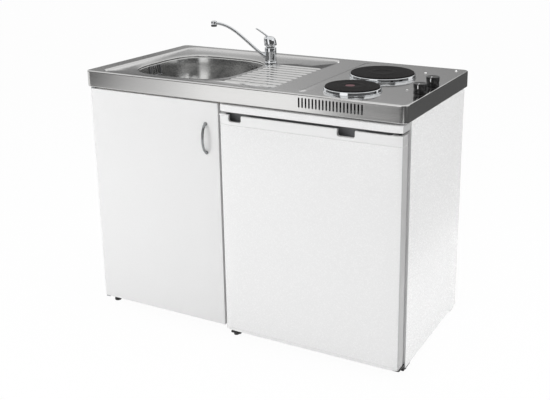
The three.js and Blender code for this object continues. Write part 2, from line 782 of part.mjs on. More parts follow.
// Pivot hinge: a leaf on the side panel's inner face, a tongue over the door's edge and a pin.
function pivotHinge(edge, away, leafStart, leafEnd) {
  const leaf = hingeLeaf;
  const inner = cabinetLeft + board + seat;
  const near = edge + away * 0.8;
  const far = near + away * leaf;
  const tongue = box(doorLeft + 1, inner + leaf, doorFront + 1, cabinetFront - seat, Math.min(near, far),
    Math.max(near, far));
  const plate = box(inner, inner + leaf, cabinetFront - 3, cabinetFront + 40, Math.min(leafStart, leafEnd),
    Math.max(leafStart, leafEnd));
  const notch = box(inner - 1, inner + leaf + 1, doorFront, cabinetFront - seat,
    Math.min(near, near - away * 200), Math.max(near, near - away * 200));
  const pinEnd = edge - away * 16;
  const pin = rod(pinRadius, Math.min(pinEnd, far), Math.max(pinEnd, far), pivotX, pivotY, 12);
  return join(cut(join(tongue, plate), notch), pin);
}

function bowHandle() {
  const half = handle.span / 2;
  const over = (handle.proud - handle.radius - 0.5) * (4 / 3);
  const bow = new THREE.CubicBezierCurve3(
    vector(0, -2, -half), vector(0, -over, -half * 0.78), vector(0, -over, half * 0.78), vector(0, -2, half));
  const feet = [-half, half].map((z) => (
    rod(handle.foot, seat, 3.2, 0, 0, 12).rotateX(Math.PI / 2).translate(0, 0, z)));
  const behind = box(-20, 20, -seat, 20, -half - 20, half + 20);
  return cut(join(tube(bow, handle.radius, 12, 6), ...feet), behind);
}

function levellingFoot(top) {
  return turned([
    [0, 0], [footRadius, 0], [footRadius, 6], [11, 9], [11, top - 4], [15, top - 4], [15, top], [0, top],
  ], 12);
}

function buildCabinet(unit) {
  const group = new THREE.Group();
  unit.add(group);
  const innerLeft = cabinetLeft + board;
  const innerRight = cabinetRight - board;
  piece(group, 'cabinet_side',
    box(cabinetLeft, innerLeft, cabinetFront, cabinetBack, cabinetBottom, bearerTop), melamine);
  piece(group, 'cabinet_partition',
    box(innerRight, cabinetRight, cabinetFront, cabinetBack, cabinetBottom, bearerTop), melamine);
  piece(group, 'cabinet_bottom',
    box(innerLeft, innerRight, cabinetFront, cabinetBack - 12, cabinetBottom + 10, bottomBoardTop), melamine);
  piece(group, 'cabinet_back',
    box(innerLeft, innerRight, cabinetBack - 12, cabinetBack - 9, cabinetBottom + 10, backPanelTop),
    hardboard);
  const railLeft = innerLeft + hingeLeaf + 2 * seat;
  piece(group, 'cabinet_rail',
    box(railLeft, innerRight, cabinetFront, cabinetFront + board, bearerTop - railHeight, bearerTop),
    melamine);
  piece(group, 'cabinet_door', cabinetDoor(), melamine);
  const bow = piece(group, 'door_handle', bowHandle(), chrome);
  bow.position.set(handle.x, doorFront, handle.z);
  piece(group, 'door_hinge_upper', pivotHinge(doorTop, 1, bearerTop - 50, doorTop + 3.8), zinc);
  piece(group, 'door_hinge_lower',
    pivotHinge(doorBottom, -1, cabinetBottom + 10 - seat, doorBottom - 3.8), zinc);
  piece(group, 'magnetic_catch',
    box(innerRight - 18, innerRight, doorBack + 0.6, cabinetFront + 26,
      catchHeights.bottom, catchHeights.top), whitePlastic);
  const footPlaces = {
    left_front: [cabinetLeft + footRadius, cabinetFront + 28],
    left_rear: [cabinetLeft + footRadius, cabinetBack - 30],
    right_front: [cabinetRight - footRadius - 4, cabinetFront + 90],
    right_rear: [cabinetRight - footRadius - 4, cabinetBack - 30],
  };
  for (const [place, [x, y]] of Object.entries(footPlaces)) {
    const foot = piece(group, `foot_${place}`, levellingFoot(cabinetBottom - seat), blackPlastic);
    foot.position.set(x, y, 0);
  }
}

// ---------------------------------------------------------------- refrigerator

const fridgeTop = fridgeSideTop - tableTop - seat; // the foamed body, under the table top
const cavityLeft = fridgeLeft + fridgeWall;
const cavityRight = fridgeRight - fridgeWall;

// A block along Y with rounded edges, seen from the front.
function roundedTunnel(left, right, bottom, top, radius, front, back) {
  return prism(roundedOutline(left, right, bottom, top, radius, 3), 0, back - front)
    .rotateX(Math.PI / 2).translate(0, back, 0);
}

function shelfRails() {
  const rails = [];
  for (const z of Object.values(shelfHeights)) {
    for (const wall of [cavityLeft, cavityRight]) {
      rails.push(box(wall - railSize, wall + railSize, shelfDepthFront + 15, cavity.humpFront - 10,
        z - seat - railSize, z - seat));
    }
  }
  return rails;
}

const controlBox = {
  left: cavityRight - 24, front: fridgeFront + 128, back: fridgeFront + 224,
  bottom: freezer.bottom - 74, top: freezer.bottom - 14,
  dialY: fridgeFront + 176, dialZ: freezer.bottom - 44,
};

// Foamed body. Its side walls rise past the table top that lies between them.
function fridgeCabinet() {
  const carcass = cut(
    box(fridgeLeft, fridgeRight, fridgeFront, fridgeBack, fridgeBottom, fridgeSideTop),
    box(fridgeLeft + tableInset, fridgeRight - tableInset, fridgeFront - 1, fridgeBack + 1,
      fridgeTop, unitHeight));
  const upper = roundedTunnel(cavityLeft, cavityRight, cavity.humpTop, cavity.top, cavity.radius,
    fridgeFront - 1, cavity.back);
  const lower = roundedTunnel(cavityLeft, cavityRight, cavity.bottom, cavity.top, cavity.radius,
    fridgeFront - 1, cavity.humpFront);
  const machineRoom = box(cavityLeft, cavityRight, niche.front, fridgeBack + 1, fridgeBottom - 1, niche.top);
  const skids = [fridgeLeft + 3, fridgeRight - 37].map((x) => (
    box(x, x + 34, fridgeBack - 45, fridgeBack - 8, 0, fridgeBottom + 5)));
  const control = box(controlBox.left, cavityRight + 5, controlBox.front, controlBox.back, controlBox.bottom,
    controlBox.top);
  const shaft = rod(shaftRadius, 0, 12, 0, 0, 12).rotateY(-Math.PI / 2)
    .translate(controlBox.left + 1, controlBox.dialY, controlBox.dialZ);
  return join(cut(carcass, upper, lower, machineRoom), ...skids, ...shelfRails(), control, shaft);
}

// Table top: a board between the side walls that widens in front of them.
function fridgeTopBoard() {
  const { left, right, front } = fridgeDoor;
  const tongue = { left: fridgeLeft + tableInset + seat, right: fridgeRight - tableInset - seat };
  const shoulder = fridgeFront - seat;
  const outline = [
    ...arc(right - 6, front + 8, 6, -Math.PI / 2, 0, 3),
    new THREE.Vector2(right, shoulder), new THREE.Vector2(tongue.right, shoulder),
    new THREE.Vector2(tongue.right, fridgeBack), new THREE.Vector2(tongue.left, fridgeBack),
    new THREE.Vector2(tongue.left, shoulder), new THREE.Vector2(left, shoulder),
    ...arc(left + 6, front + 8, 6, Math.PI, 1.5 * Math.PI, 3),
  ];
  return prism(outline, fridgeSideTop - tableTop, fridgeSideTop);
}

function doorPlan() {
  const { left, right, front, back, radius } = fridgeDoor;
  return [
    ...arc(right - radius, front + radius, radius, -Math.PI / 2, 0, 4),
    new THREE.Vector2(right, back),
    new THREE.Vector2(left, back),
    ...arc(left + radius, front + radius, radius, Math.PI, 1.5 * Math.PI, 4),
  ];
}

const hingePin = 4;

function fridgeDoorPanel() {
  const bore = rod(hingePin + pinClearance, fridgeDoor.bottom - 1, fridgeDoor.bottom + 26,
    hingeX, hingeY, 16);
  return cut(prism(doorPlan(), fridgeDoor.bottom, fridgeDoor.seam - seat), bore);
}

// Moulded cap: a grip channel open upwards behind a lip that is notched for the fingers.
function doorCap() {
  const { top, postTop, postWidth, lip, channel, floor, notchFloor } = cap;
  const { left, right, front, back } = fridgeDoor;
  const body = prism(doorPlan(), fridgeDoor.seam, postTop);
  const postEnd = left + postWidth;
  const lowered = box(postEnd, right + 1, front - 1, back + 1, top, postTop + 1);
  const channelFront = front + lip;
  const grip = prism(roundedOutline(postEnd, hingeX - 24, channelFront, channelFront + channel, 6, 3), floor,
    postTop + 1);
  const fingers = notches.map((notch) => (
    roundedTunnel(notch.left, notch.right, notchFloor, top + 20, 7, front - 1, channelFront + 5)));
  const bore = rod(hingePin + pinClearance, top - 22, postTop + 1, hingeX, hingeY, 16);
  return cut(body, lowered, grip, ...fingers, bore);
}

const gasketFrame = {
  left: fridgeDoor.left + 13, right: hingeX, bottom: fridgeDoor.bottom + 10, top: cap.top - 8,
};

function doorGasket() {
  const { left, right, bottom, top } = gasketFrame;
  const back = fridgeFront - gasketGap;
  const ring = cut(
    roundedTunnel(left, right, bottom, top, 6, fridgeDoor.back + seat, back),
    roundedTunnel(left + gasketWidth, right - gasketWidth, bottom + gasketWidth, top - gasketWidth, 4,
      fridgeDoor.back - 1, back + 1));
  const fold = (back + fridgeDoor.back) / 2;
  const groove = cut(
    roundedTunnel(left - 1, right + 1, bottom - 1, top + 1, 6, fold - 1.5, fold + 1.5),
    roundedTunnel(left + 3, right - 3, bottom + 3, top - 3, 5, fold - 2, fold + 2));
  return cut(ring, groove);
}

const linerInset = 3;
const dyke = 14;
const bins = [
  { floor: 240, height: 95, depth: 84 },
  { floor: 455, height: 60, depth: 70 },
];

// Vacuum-formed inner panel: two side dykes carry the bins moulded between them.
function doorLiner() {
  const left = gasketFrame.left + gasketWidth + linerInset;
  const right = gasketFrame.right - gasketWidth - linerInset;
  const bottom = gasketFrame.bottom + gasketWidth + linerInset;
  const top = gasketFrame.top - gasketWidth - linerInset;
  const face = fridgeDoor.back + seat;
  const back = face + 4;
  const panel = roundedTunnel(left, right, bottom, top, 12, face, back);
  const wide = { left: cavityLeft + 14, right: cavityRight - 22 };
  const parts = [];
  for (const { floor, height, depth } of bins) {
    const reach = face + depth;
    parts.push(box(wide.left, wide.left + dyke, back - 1, reach, floor, floor + height));
    parts.push(box(wide.right - dyke, wide.right, back - 1, reach, floor, floor + height));
    parts.push(box(wide.left + 1, wide.right - 1, back - 1, reach, floor, floor + 3));
    parts.push(box(wide.left + 1, wide.right - 1, reach - 3, reach, floor, floor + height * 0.7));
  }
  return join(panel, ...parts);
}

// Lower hinge: a plate under the cabinet with a pin up into the door.
function lowerHinge() {
  const top = fridgeBottom - seat;
  const plate = prism(
    roundedOutline(hingeX - 14, fridgeRight - 1, hingeY - 13, fridgeFront + 44, 4, 2), top - 5, top);
  const bush = rod(8, top - 1, fridgeDoor.bottom - 1, hingeX, hingeY, 16);
  return join(plate, bush, rod(hingePin, top - 1, fridgeDoor.bottom + 22, hingeX, hingeY, 16));
}

// Upper hinge: a plate under the table top with a pin down into the cap.
function upperHinge() {
  const top = fridgeTop;
  const plate = prism(
    roundedOutline(hingeX - 22, hingeX + 13, hingeY - 12, fridgeFront - 1, 4, 2), top - 2.6, top);
  return join(plate, rod(hingePin, cap.top - 18, top - 1, hingeX, hingeY, 16));
}

function glassShelf(z) {
  const pane = box(cavityLeft + 2, cavityRight - 2, shelfDepthFront, cavity.back - 4, z, z + glass);
  const trim = roundedTunnel(cavityLeft + 2, cavityRight - 2, z - 4, z + glass + 4, 3, shelfDepthFront - 6,
    shelfDepthFront + 8);
  return join(pane, trim);
}

const drawer = {
  left: cavityLeft + 12, right: cavityRight - 12,
  front: fridgeFront + 100, back: cavity.humpFront - 12, wall: 3,
};

function crisperDrawer() {
  const { left, right, front, back, wall } = drawer;
  const bottom = cavity.bottom + seat;
  const top = shelfHeights.crisper - 22;
  const plan = (wallInset, taper) => {
    const inset = wallInset + taper;
    return roundedOutline(left + inset, right - inset, front + inset, back - inset, 12, 3);
  };
  const tub = loft([{ outline: plan(0, 6), z: bottom }, { outline: plan(0, 0), z: top }]);
  const hollow = loft([{ outline: plan(wall, 6), z: bottom + wall }, { outline: plan(wall, 0), z: top + 1 }]);
  const middle = (left + right) / 2;
  const grip = roundedTunnel(middle - 70, middle + 70, top - 22, top + 10, 8, front - 10, front + 12);
  return cut(tub, hollow, grip);
}

const flapPin = 2.5;
const flapAxis = { y: freezer.front + 6, z: freezer.bottom + freezer.wall + 7 };

function freezerBox() {
  const { bottom, front, wall } = freezer;
  const left = cavityLeft + 4;
  const right = cavityRight - 4;
  const top = cavity.top - seat;
  const back = cavity.back - 4;
  const shell = roundedTunnel(left, right, bottom, top, 14, front, back);
  const room = roundedTunnel(left + wall, right - wall, bottom + wall, top - wall, 9, front - 1, back - wall);
  const pins = rod(flapPin + pinClearance, left - 1, right + 1, 0, 0, 12).rotateY(Math.PI / 2)
    .translate(0, flapAxis.y, flapAxis.z);
  return cut(shell, room, pins);
}

function freezerFlap() {
  const left = cavityLeft + 4 + freezer.wall + freezer.flapGap;
  const right = cavityRight - 4 - freezer.wall - freezer.flapGap;
  const bottom = flapAxis.z - 3;
  const top = cavity.top - freezer.wall - 3;
  const leaf = roundedTunnel(left, right, bottom, top, 10, flapAxis.y - 1.5, flapAxis.y + 5.5);
  const onAxis = (radius, from, to) => (
    rod(radius, from, to, 0, 0, 12).rotateY(Math.PI / 2).translate(0, flapAxis.y, flapAxis.z));
  const barrel = onAxis(5, left + 9, right - 9);
  const pins = onAxis(flapPin, left - 5, right + 5);
  const middle = (left + right) / 2;
  const pull = roundedTunnel(middle - 60, middle + 60, top - 26, top - 14, 4, flapAxis.y - 10, flapAxis.y);
  return join(leaf, barrel, pins, pull);
}

function thermostatKnob() {
  const dial = turned([
    [0, seat], [17, seat], [17, 4], [14, 6], [12.5, 15], [11, 16.5], [0, 16.5],
  ], 16);
  return cut(dial, rod(shaftRadius + shaftClearance, -1, 12.5, 0, 0, 12));
}

function compressor() {
  const middleX = (cavityLeft + cavityRight) / 2;
  const middleY = (niche.front + fridgeBack) / 2 + 2;
  const rail = box(cavityLeft + seat, cavityRight - seat, middleY - 45, middleY + 45,
    fridgeBottom + 2, fridgeBottom + 4);
  const pot = turned([
    [0, fridgeBottom + 10], [38, fridgeBottom + 10], [46, fridgeBottom + 24], [48, fridgeBottom + 54],
    [49.5, fridgeBottom + 56], [48, fridgeBottom + 58], [44, fridgeBottom + 100], [28, fridgeBottom + 118],
    [0, fridgeBottom + 121],
  ], 16).translate(middleX, middleY, 0);
  const feet = [middleX - 34, middleX + 34].map((x) => rod(9, fridgeBottom + 3, fridgeBottom + 30, x, middleY, 12));
  return join(rail, pot, ...feet);
}

// Condenser: one tube folded to and fro behind the cabinet, carried by two upright straps.
function condenser() {
  const turns = 7;
  const left = cavityLeft + condenserInset;
  const right = cavityRight - condenserInset;
  const low = niche.top + 50;
  const pitch = (fridgeTop - 60 - low) / (turns - 1);
  const y = fridgeBack + 14;
  const route = new THREE.CurvePath();
  for (let i = 0; i < turns; i += 1) {
    const z = low + i * pitch;
    const [from, to] = i % 2 === 0 ? [left, right] : [right, left];
    route.add(new THREE.LineCurve3(vector(from, y, z), vector(to, y, z)));
    if (i < turns - 1) {
      const bulge = Math.sign(to - from) * pitch * 0.66;
      route.add(new THREE.CubicBezierCurve3(vector(to, y, z), vector(to + bulge, y, z),
        vector(to + bulge, y, z + pitch), vector(to, y, z + pitch)));
    }
  }
  const coil = foldedTube(route, condenserTube, 6);
  const high = low + pitch * (turns - 1);
  const straps = [left + 30, right - 30].flatMap((x) => [
    box(x - 6, x + 6, y - 4, y - 1.4, low - 14, high + 14),
    box(x - 6, x + 6, fridgeBack + seat, y - 2, low - 14, low - 6),
    box(x - 6, x + 6, fridgeBack + seat, y - 2, high + 6, high + 14),
  ]);
  return join(coil, ...straps);
}

// A tube that takes one step along each straight and three round each bend.
function foldedTube(route, radius, sides) {
  const points = route.curves.flatMap((leg) => leg.getPoints(leg.isLineCurve3 ? 1 : 3).slice(0, -1));
  points.push(route.curves.at(-1).v2);
  const rings = points.map((point, i) => {
    const before = points[Math.max(i - 1, 0)];
    const after = points[Math.min(i + 1, points.length - 1)];
    const along = after.clone().sub(before).normalize();
    const side = vector(0, 1, 0);
    const up = side.clone().cross(along);
    return arc(0, 0, radius, 0, 2 * Math.PI, sides).slice(0, -1)
      .map((p) => point.clone().addScaledVector(side, p.x).addScaledVector(up, p.y));
  });
  const positions = rings.flat().flatMap((p) => p.toArray());
  const index = [];
  for (let r = 0; r < rings.length - 1; r += 1) {
    for (let i = 0; i < sides; i += 1) {
      const a = r * sides + i;
      const b = r * sides + ((i + 1) % sides);
      index.push(a, b, b + sides, a, b + sides, a + sides);
    }
  }
  const last = (rings.length - 1) * sides;
  for (let i = 1; i < sides - 1; i += 1) {
    index.push(0, i + 1, i, last, last + i, last + i + 1);
  }
  const geometry = new THREE.BufferGeometry();
  geometry.setAttribute('position', new THREE.Float32BufferAttribute(positions, 3));
  geometry.setIndex(index);
  return geometry;
}

function fridgeFoot(radius, top) {
  return turned([[0, 0], [radius, 0], [radius, 5], [6, 6], [6, top], [0, top]], 12);
}

function buildFridge(unit) {
  const group = new THREE.Group();
  unit.add(group);
  piece(group, 'fridge_cabinet', fridgeCabinet(), enamel);
  piece(group, 'fridge_top', fridgeTopBoard(), enamel);
  piece(group, 'fridge_door', fridgeDoorPanel(), enamel);
  piece(group, 'fridge_door_cap', doorCap(), whitePlastic);
  piece(group, 'fridge_door_liner', doorLiner(), liner);
  piece(group, 'fridge_gasket', doorGasket(), rubber);
  piece(group, 'fridge_hinge_lower', lowerHinge(), blackSteel);
  piece(group, 'fridge_hinge_upper', upperHinge(), blackSteel);
  piece(group, 'shelf_upper', glassShelf(shelfHeights.upper), clearPlastic);
  piece(group, 'crisper_cover', glassShelf(shelfHeights.crisper), clearPlastic);
  piece(group, 'crisper_drawer', crisperDrawer(), clearPlastic);
  piece(group, 'freezer_box', freezerBox(), liner);
  piece(group, 'freezer_flap', freezerFlap(), whitePlastic);
  const dial = piece(group, 'thermostat_knob', thermostatKnob(), whitePlastic);
  dial.rotation.y = -Math.PI / 2;
  dial.position.set(controlBox.left, controlBox.dialY, controlBox.dialZ);
  piece(group, 'compressor', compressor(), blackSteel);
  piece(group, 'condenser', condenser(), blackSteel);
  const left = piece(group, 'fridge_foot_left', fridgeFoot(20, fridgeBottom - seat), blackPlastic);
  left.position.set(fridgeLeft + 26, fridgeFront + 10, 0);
  const right = piece(group, 'fridge_foot_right', fridgeFoot(14, fridgeBottom - 5 - 2 * seat), blackPlastic);
  right.position.set(hingeX, fridgeFront + 20, 0);
}

// ---------------------------------------------------------------- assembly

// The handle stands proud of the front, so the unit moves back by half of that to stay centred.
const frontmost = Math.min(doorFront - handle.proud, fridgeDoor.front);
const unit = new THREE.Group();
unit.position.y = -(frontmost + halfDepth) / 2;
buildWorktop(unit);
buildSink(unit);
buildTap(unit);
buildHob(unit);
buildCabinet(unit);
buildFridge(unit);

export default unit;
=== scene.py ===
# %% [markdown]
# # A kitchenette unit in a plain studio
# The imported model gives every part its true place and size, in metres: X to the right, Y to the back wall,
# Z up. This script keeps the parts whose shape is already right and gives them finishes, and it makes finer
# meshes for the pressed worktop, the bowl, the tap, the hob and the refrigerator door, which the eye reads
# first.

# %% Load the model
import math

import bmesh
import bpy
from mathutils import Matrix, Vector
from mathutils.geometry import delaunay_2d_cdt


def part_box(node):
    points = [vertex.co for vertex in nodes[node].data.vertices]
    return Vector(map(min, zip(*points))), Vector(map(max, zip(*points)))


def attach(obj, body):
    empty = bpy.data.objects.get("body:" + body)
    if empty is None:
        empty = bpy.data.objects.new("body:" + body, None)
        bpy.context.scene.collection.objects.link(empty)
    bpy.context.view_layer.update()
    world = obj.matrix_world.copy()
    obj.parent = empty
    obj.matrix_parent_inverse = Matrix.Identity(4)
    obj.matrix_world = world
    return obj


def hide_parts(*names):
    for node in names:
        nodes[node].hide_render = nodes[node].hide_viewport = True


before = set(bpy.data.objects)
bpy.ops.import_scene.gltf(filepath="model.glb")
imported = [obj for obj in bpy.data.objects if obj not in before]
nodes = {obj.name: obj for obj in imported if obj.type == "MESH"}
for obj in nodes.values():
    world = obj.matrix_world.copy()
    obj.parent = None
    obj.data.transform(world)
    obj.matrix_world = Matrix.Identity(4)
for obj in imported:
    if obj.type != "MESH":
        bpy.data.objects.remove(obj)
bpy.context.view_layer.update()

# %% [markdown]
# ## The camera
# The photograph looks down a little on the unit from the right, and its upright edges stay parallel: a
# level camera with a lens shifted by half the picture's width would draw it so. The camera stands in that
# place, but is tilted down at the unit, and a small shift sets the unit where it is in the photograph. The
# upright edges come together a little towards the floor for it, and in return every other view keeps the
# unit in its frame.

# %% Camera
def put(name, data):
    """Adds an object to the scene."""
    thing = bpy.data.objects.new(name, data)
    bpy.context.scene.collection.objects.link(thing)
    return thing


PICTURE = (550, 400)
SENSOR = 36
FOCAL_PIXELS = 850.92
CENTRE_PIXEL = (327.57, 134)
UNIT_BACK = 0.0115  # the unit's own middle lies this far behind the origin
CAMERA_PLACE = (1.453, -2.5358 + UNIT_BACK, 1.4665)
TILT, TURN = 15.466, 26.369

camera_data = bpy.data.cameras.new("camera")
camera_data.sensor_width = SENSOR
camera_data.lens = FOCAL_PIXELS * SENSOR / PICTURE[0]
camera_data.shift_x = (PICTURE[0] / 2 - CENTRE_PIXEL[0]) / PICTURE[0]
camera_data.shift_y = (CENTRE_PIXEL[1] - PICTURE[1] / 2) / PICTURE[0]
camera = put("camera", camera_data)
camera.location = CAMERA_PLACE
camera.rotation_euler = (math.radians(90 - TILT), 0, math.radians(TURN))
bpy.context.scene.camera = camera
print("lens", round(camera_data.lens, 2), "mm, shift", camera_data.shift_x, camera_data.shift_y)

# %% [markdown]
# ## Helpers for shapes
# Sheet metal, turned parts and tubes are all made of closed rings of points, so one small function that
# skins rings serves them all. Primitives and modifiers could make them too, but rings keep the real profile
# of each part in plain sight. Faces that meet at a shallow angle are shaded smooth and sharp bends stay
# crisp.

# %% Pieces
WELD = 2e-6  # points nearer than this are one point


def mesh_of(name, points, faces, weld=0.0):
    """A mesh whose faces all look outward."""
    mesh = bpy.data.meshes.new(name)
    mesh.from_pydata([tuple(p) for p in points], [], faces)
    cleaner = bmesh.new()
    cleaner.from_mesh(mesh)
    if weld:
        bmesh.ops.remove_doubles(cleaner, verts=cleaner.verts, dist=weld)
    bmesh.ops.recalc_face_normals(cleaner, faces=cleaner.faces)
    cleaner.to_mesh(mesh)
    cleaner.free()
    return mesh


def add_piece(name, points, faces, material, body, stands_for=(), slot=None, smooth_below=38):
    """A visible piece that rides on a body, and may stand for some of its nodes."""
    piece = put(name, mesh_of(name, points, faces, WELD))
    shade(piece, smooth_below)
    piece.data.materials.append(material)
    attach(piece, body)
    if stands_for:
        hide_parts(*stands_for)
    print(name, "on", body, len(piece.data.polygons), "faces")
    return piece


def shade(piece, smooth_below=38):
    piece.data.polygons.foreach_set("use_smooth", [True] * len(piece.data.polygons))
    piece.data.set_sharp_from_angle(angle=math.radians(smooth_below))


def skin(rings, closed=True, caps=True):
    """Quads between rings of the same number of points, and a face over each end."""
    count = len(rings[0])
    points = [p for ring in rings for p in ring]
    faces = []
    pairs = len(rings) if closed == "both" else len(rings) - 1
    for r in range(pairs):
        near, far = r * count, ((r + 1) % len(rings)) * count
        for i in range(count):
            j = (i + 1) % count
            faces.append((near + i, near + j, far + j, far + i))
    if caps:
        faces.append(tuple(range(count))[::-1])
        faces.append(tuple((len(rings) - 1) * count + i for i in range(count)))
    return points, faces


def prism(outline, low, high):
    return skin([[(x, y, low) for x, y in outline], [(x, y, high) for x, y in outline]])


def circle(centre, radius, count=64):
    return [(centre[0] + radius * math.cos(2 * math.pi * i / count),
             centre[1] + radius * math.sin(2 * math.pi * i / count)) for i in range(count)]


def lathe(profile, centre=(0, 0, 0), segments=64):
    """A turned part: the profile lists radius and height, and closes on itself or on the axis."""
    rings = [[(x, y, centre[2] + height) for x, y in circle(centre, radius, segments)]
             for radius, height in profile]
    on_axis = profile[0][0] < 1e-9 and profile[-1][0] < 1e-9
    return skin(rings, closed=True if on_axis else "both", caps=False)


def join(*shapes):
    points, faces = [], []
    for more_points, more_faces in shapes:
        start = len(points)
        points += more_points
        faces += [tuple(start + i for i in face) for face in more_faces]
    return points, faces


def arc(centre, start, turn, steps, radius, radius_y=None):
    """Points from one angle on by a turn, in degrees, on a circle or an ellipse."""
    angles = [math.radians(start + turn * step / steps) for step in range(steps + 1)]
    return [(centre[0] + radius * math.cos(a), centre[1] + (radius_y or radius) * math.sin(a))
            for a in angles]


# %% [markdown]
# ## Outlines and curves
# The worktop, its field and the door's grip are rounded rectangles, the bowl is a rounded square whose
# sides bulge, and spout, lever and handle are bars that bend and taper. Curve objects could draw these too,
# but here each is a list of points from a short formula, so that any outline can be raised, turned or swept
# by the same helpers.

# %% Outlines and curves
def rounded_rectangle(left, right, front, back, radius, steps=10, hold=0.0):
    """hold adds a point that far from each end of a straight side, so that the side is shaded flat."""
    corners = [(right - radius, front + radius, -90), (right - radius, back - radius, 0),
               (left + radius, back - radius, 90), (left + radius, front + radius, 180)]
    outline = []
    for x, y, start in corners:
        corner = arc((x, y), start, 90, steps, radius)
        if hold:
            before, after = math.radians(start + 90), math.radians(start + 180)
            corner.insert(0, (corner[0][0] - hold * math.cos(before), corner[0][1] - hold * math.sin(before)))
            corner.append((corner[-1][0] + hold * math.cos(after), corner[-1][1] + hold * math.sin(after)))
        outline += corner
    return outline


def super_ellipse(half, exponent, centre, count=160, fine=2400):
    """A rounded square, as a superellipse, with its points spaced evenly along it."""
    curve, walked = [], [0.0]
    for i in range(fine + 1):
        c, s = math.cos(2 * math.pi * i / fine), math.sin(2 * math.pi * i / fine)
        curve.append(tuple(math.copysign(abs(k) ** (2 / exponent), k) for k in (c, s)))
        if i:
            walked.append(walked[-1] + math.dist(curve[-1], curve[-2]))
    outline, at = [], 0
    for k in range(count):
        goal = walked[-1] * k / count
        while walked[at + 1] < goal:
            at += 1
        t = (goal - walked[at]) / (walked[at + 1] - walked[at])
        outline.append(tuple(centre[j] + half * (curve[at][j] + (curve[at + 1][j] - curve[at][j]) * t)
                             for j in range(2)))
    return outline


def smooth_curve(points, steps=8):
    """A Catmull-Rom curve through the points."""
    vectors = [Vector(p) for p in points]
    ends = [2 * vectors[0] - vectors[1], *vectors, 2 * vectors[-1] - vectors[-2]]
    curve = []
    for a, b, c, d in zip(ends, ends[1:], ends[2:], ends[3:]):
        for step in range(steps):
            t = step / steps
            curve.append(0.5 * (2 * b + (c - a) * t + (2 * a - 5 * b + 4 * c - d) * t * t
                                + (3 * b - a - 3 * c + d) * t ** 3))
    return curve + [vectors[-1]]


def tube(route, radii, sides=24, squeeze=(1, 1)):
    """A tube along the route. radii is one radius or one for each point; squeeze flattens the section."""
    route = [Vector(p) for p in route]
    if not hasattr(radii, "__len__"):
        radii = [radii] * len(route)
    across = None
    rings = []
    for i, point in enumerate(route):
        along = (route[min(i + 1, len(route) - 1)] - route[max(i - 1, 0)]).normalized()
        if across is None:
            upright = abs(along.z) > 0.99
            across = along.orthogonal().normalized() if upright else along.cross(Vector((0, 0, 1)))
        across = (across - along * across.dot(along)).normalized()
        up = along.cross(across)
        rings.append([tuple(point + across * (math.cos(2 * math.pi * s / sides) * radii[i] * squeeze[0])
                            + up * (math.sin(2 * math.pi * s / sides) * radii[i] * squeeze[1]))
                      for s in range(sides)])
    return skin(rings)


# %% [markdown]
# ## Cutting
# Slots are punched out of the real sheet, and the knobs' flutes and the door's grip are hollows in their
# moulds. A mesh could be modelled round each opening, but a Boolean modifier cuts it in one step, and it is
# applied at once, so that the piece goes on as a plain mesh.

# %% Cutting
def apply_modifiers(piece):
    bpy.context.view_layer.update()
    evaluated = piece.evaluated_get(bpy.context.evaluated_depsgraph_get())
    mesh = bpy.data.meshes.new_from_object(evaluated)
    piece.modifiers.clear()
    piece.data = mesh


def cut_away(piece, cutters, overlapping=False):
    """Cuts shapes, each given as points and faces, out of the piece."""
    cutter = put("cutter", mesh_of("cutter", *join(*cutters)))
    modifier = piece.modifiers.new("cut", "BOOLEAN")
    modifier.operation = "DIFFERENCE"
    modifier.solver = "EXACT"
    modifier.use_self = overlapping
    modifier.object = cutter
    apply_modifiers(piece)
    bpy.data.objects.remove(cutter)
    shade(piece)


# %% [markdown]
# ## Helpers for finishes
# Colours are written as they look on screen, in sRGB, and turned to the linear values that a shader works
# in. On nearly every real surface tone, gloss and relief follow the same grain or wear, so one function
# lets one fine noise drive all three. Painted textures could do it too, but noise has its scale from real
# millimetres.

# %% Colours and nodes
def colour(code):
    channels = [int(code[i:i + 2], 16) / 255 for i in (1, 3, 5)]
    return [c / 12.92 if c <= 0.04045 else ((c + 0.055) / 1.055) ** 2.4 for c in channels] + [1.0]


def add_node(tree, kind, inputs=None, **settings):
    node = tree.nodes.new(kind)
    for name, value in settings.items():
        setattr(node, name, value)
    for name, value in (inputs or {}).items():
        if isinstance(value, bpy.types.NodeSocket):
            tree.links.new(value, node.inputs[name])
        else:
            node.inputs[name].default_value = value
    return node


def new_finish(name, **shader_values):
    """An empty material. Values that are the same all over sit on the shader's own sockets."""
    material = bpy.data.materials.new(name)
    material.use_nodes = True
    tree = material.node_tree
    shader = tree.nodes["Principled BSDF"]
    for socket, value in shader_values.items():
        shader.inputs[socket.replace("_", " ")].default_value = value
    place = add_node(tree, "ShaderNodeTexCoord").outputs["Object"]
    return material, tree, shader, place


def tint(tree, shader, value, low, high):
    """The shader's colour runs between two tones as value runs from 0.3 to 0.7."""
    ramp = add_node(tree, "ShaderNodeValToRGB", {"Fac": value})
    ramp.color_ramp.elements[0].position = 0.3
    ramp.color_ramp.elements[1].position = 0.7
    ramp.color_ramp.elements[0].color = colour(low)
    ramp.color_ramp.elements[1].color = colour(high)
    tree.links.new(ramp.outputs["Color"], shader.inputs["Base Color"])


def vary_roughness(tree, shader, value, low, high):
    spread = add_node(tree, "ShaderNodeMapRange", {"Value": value, "From Min": 0.3, "From Max": 0.7,
                                                   "To Min": low, "To Max": high})
    tree.links.new(spread.outputs["Result"], shader.inputs["Roughness"])


def relief(tree, shader, value, depth, strength=1.0):
    bump = add_node(tree, "ShaderNodeBump", {"Height": value, "Distance": depth, "Strength": strength})
    tree.links.new(bump.outputs["Normal"], shader.inputs["Normal"])


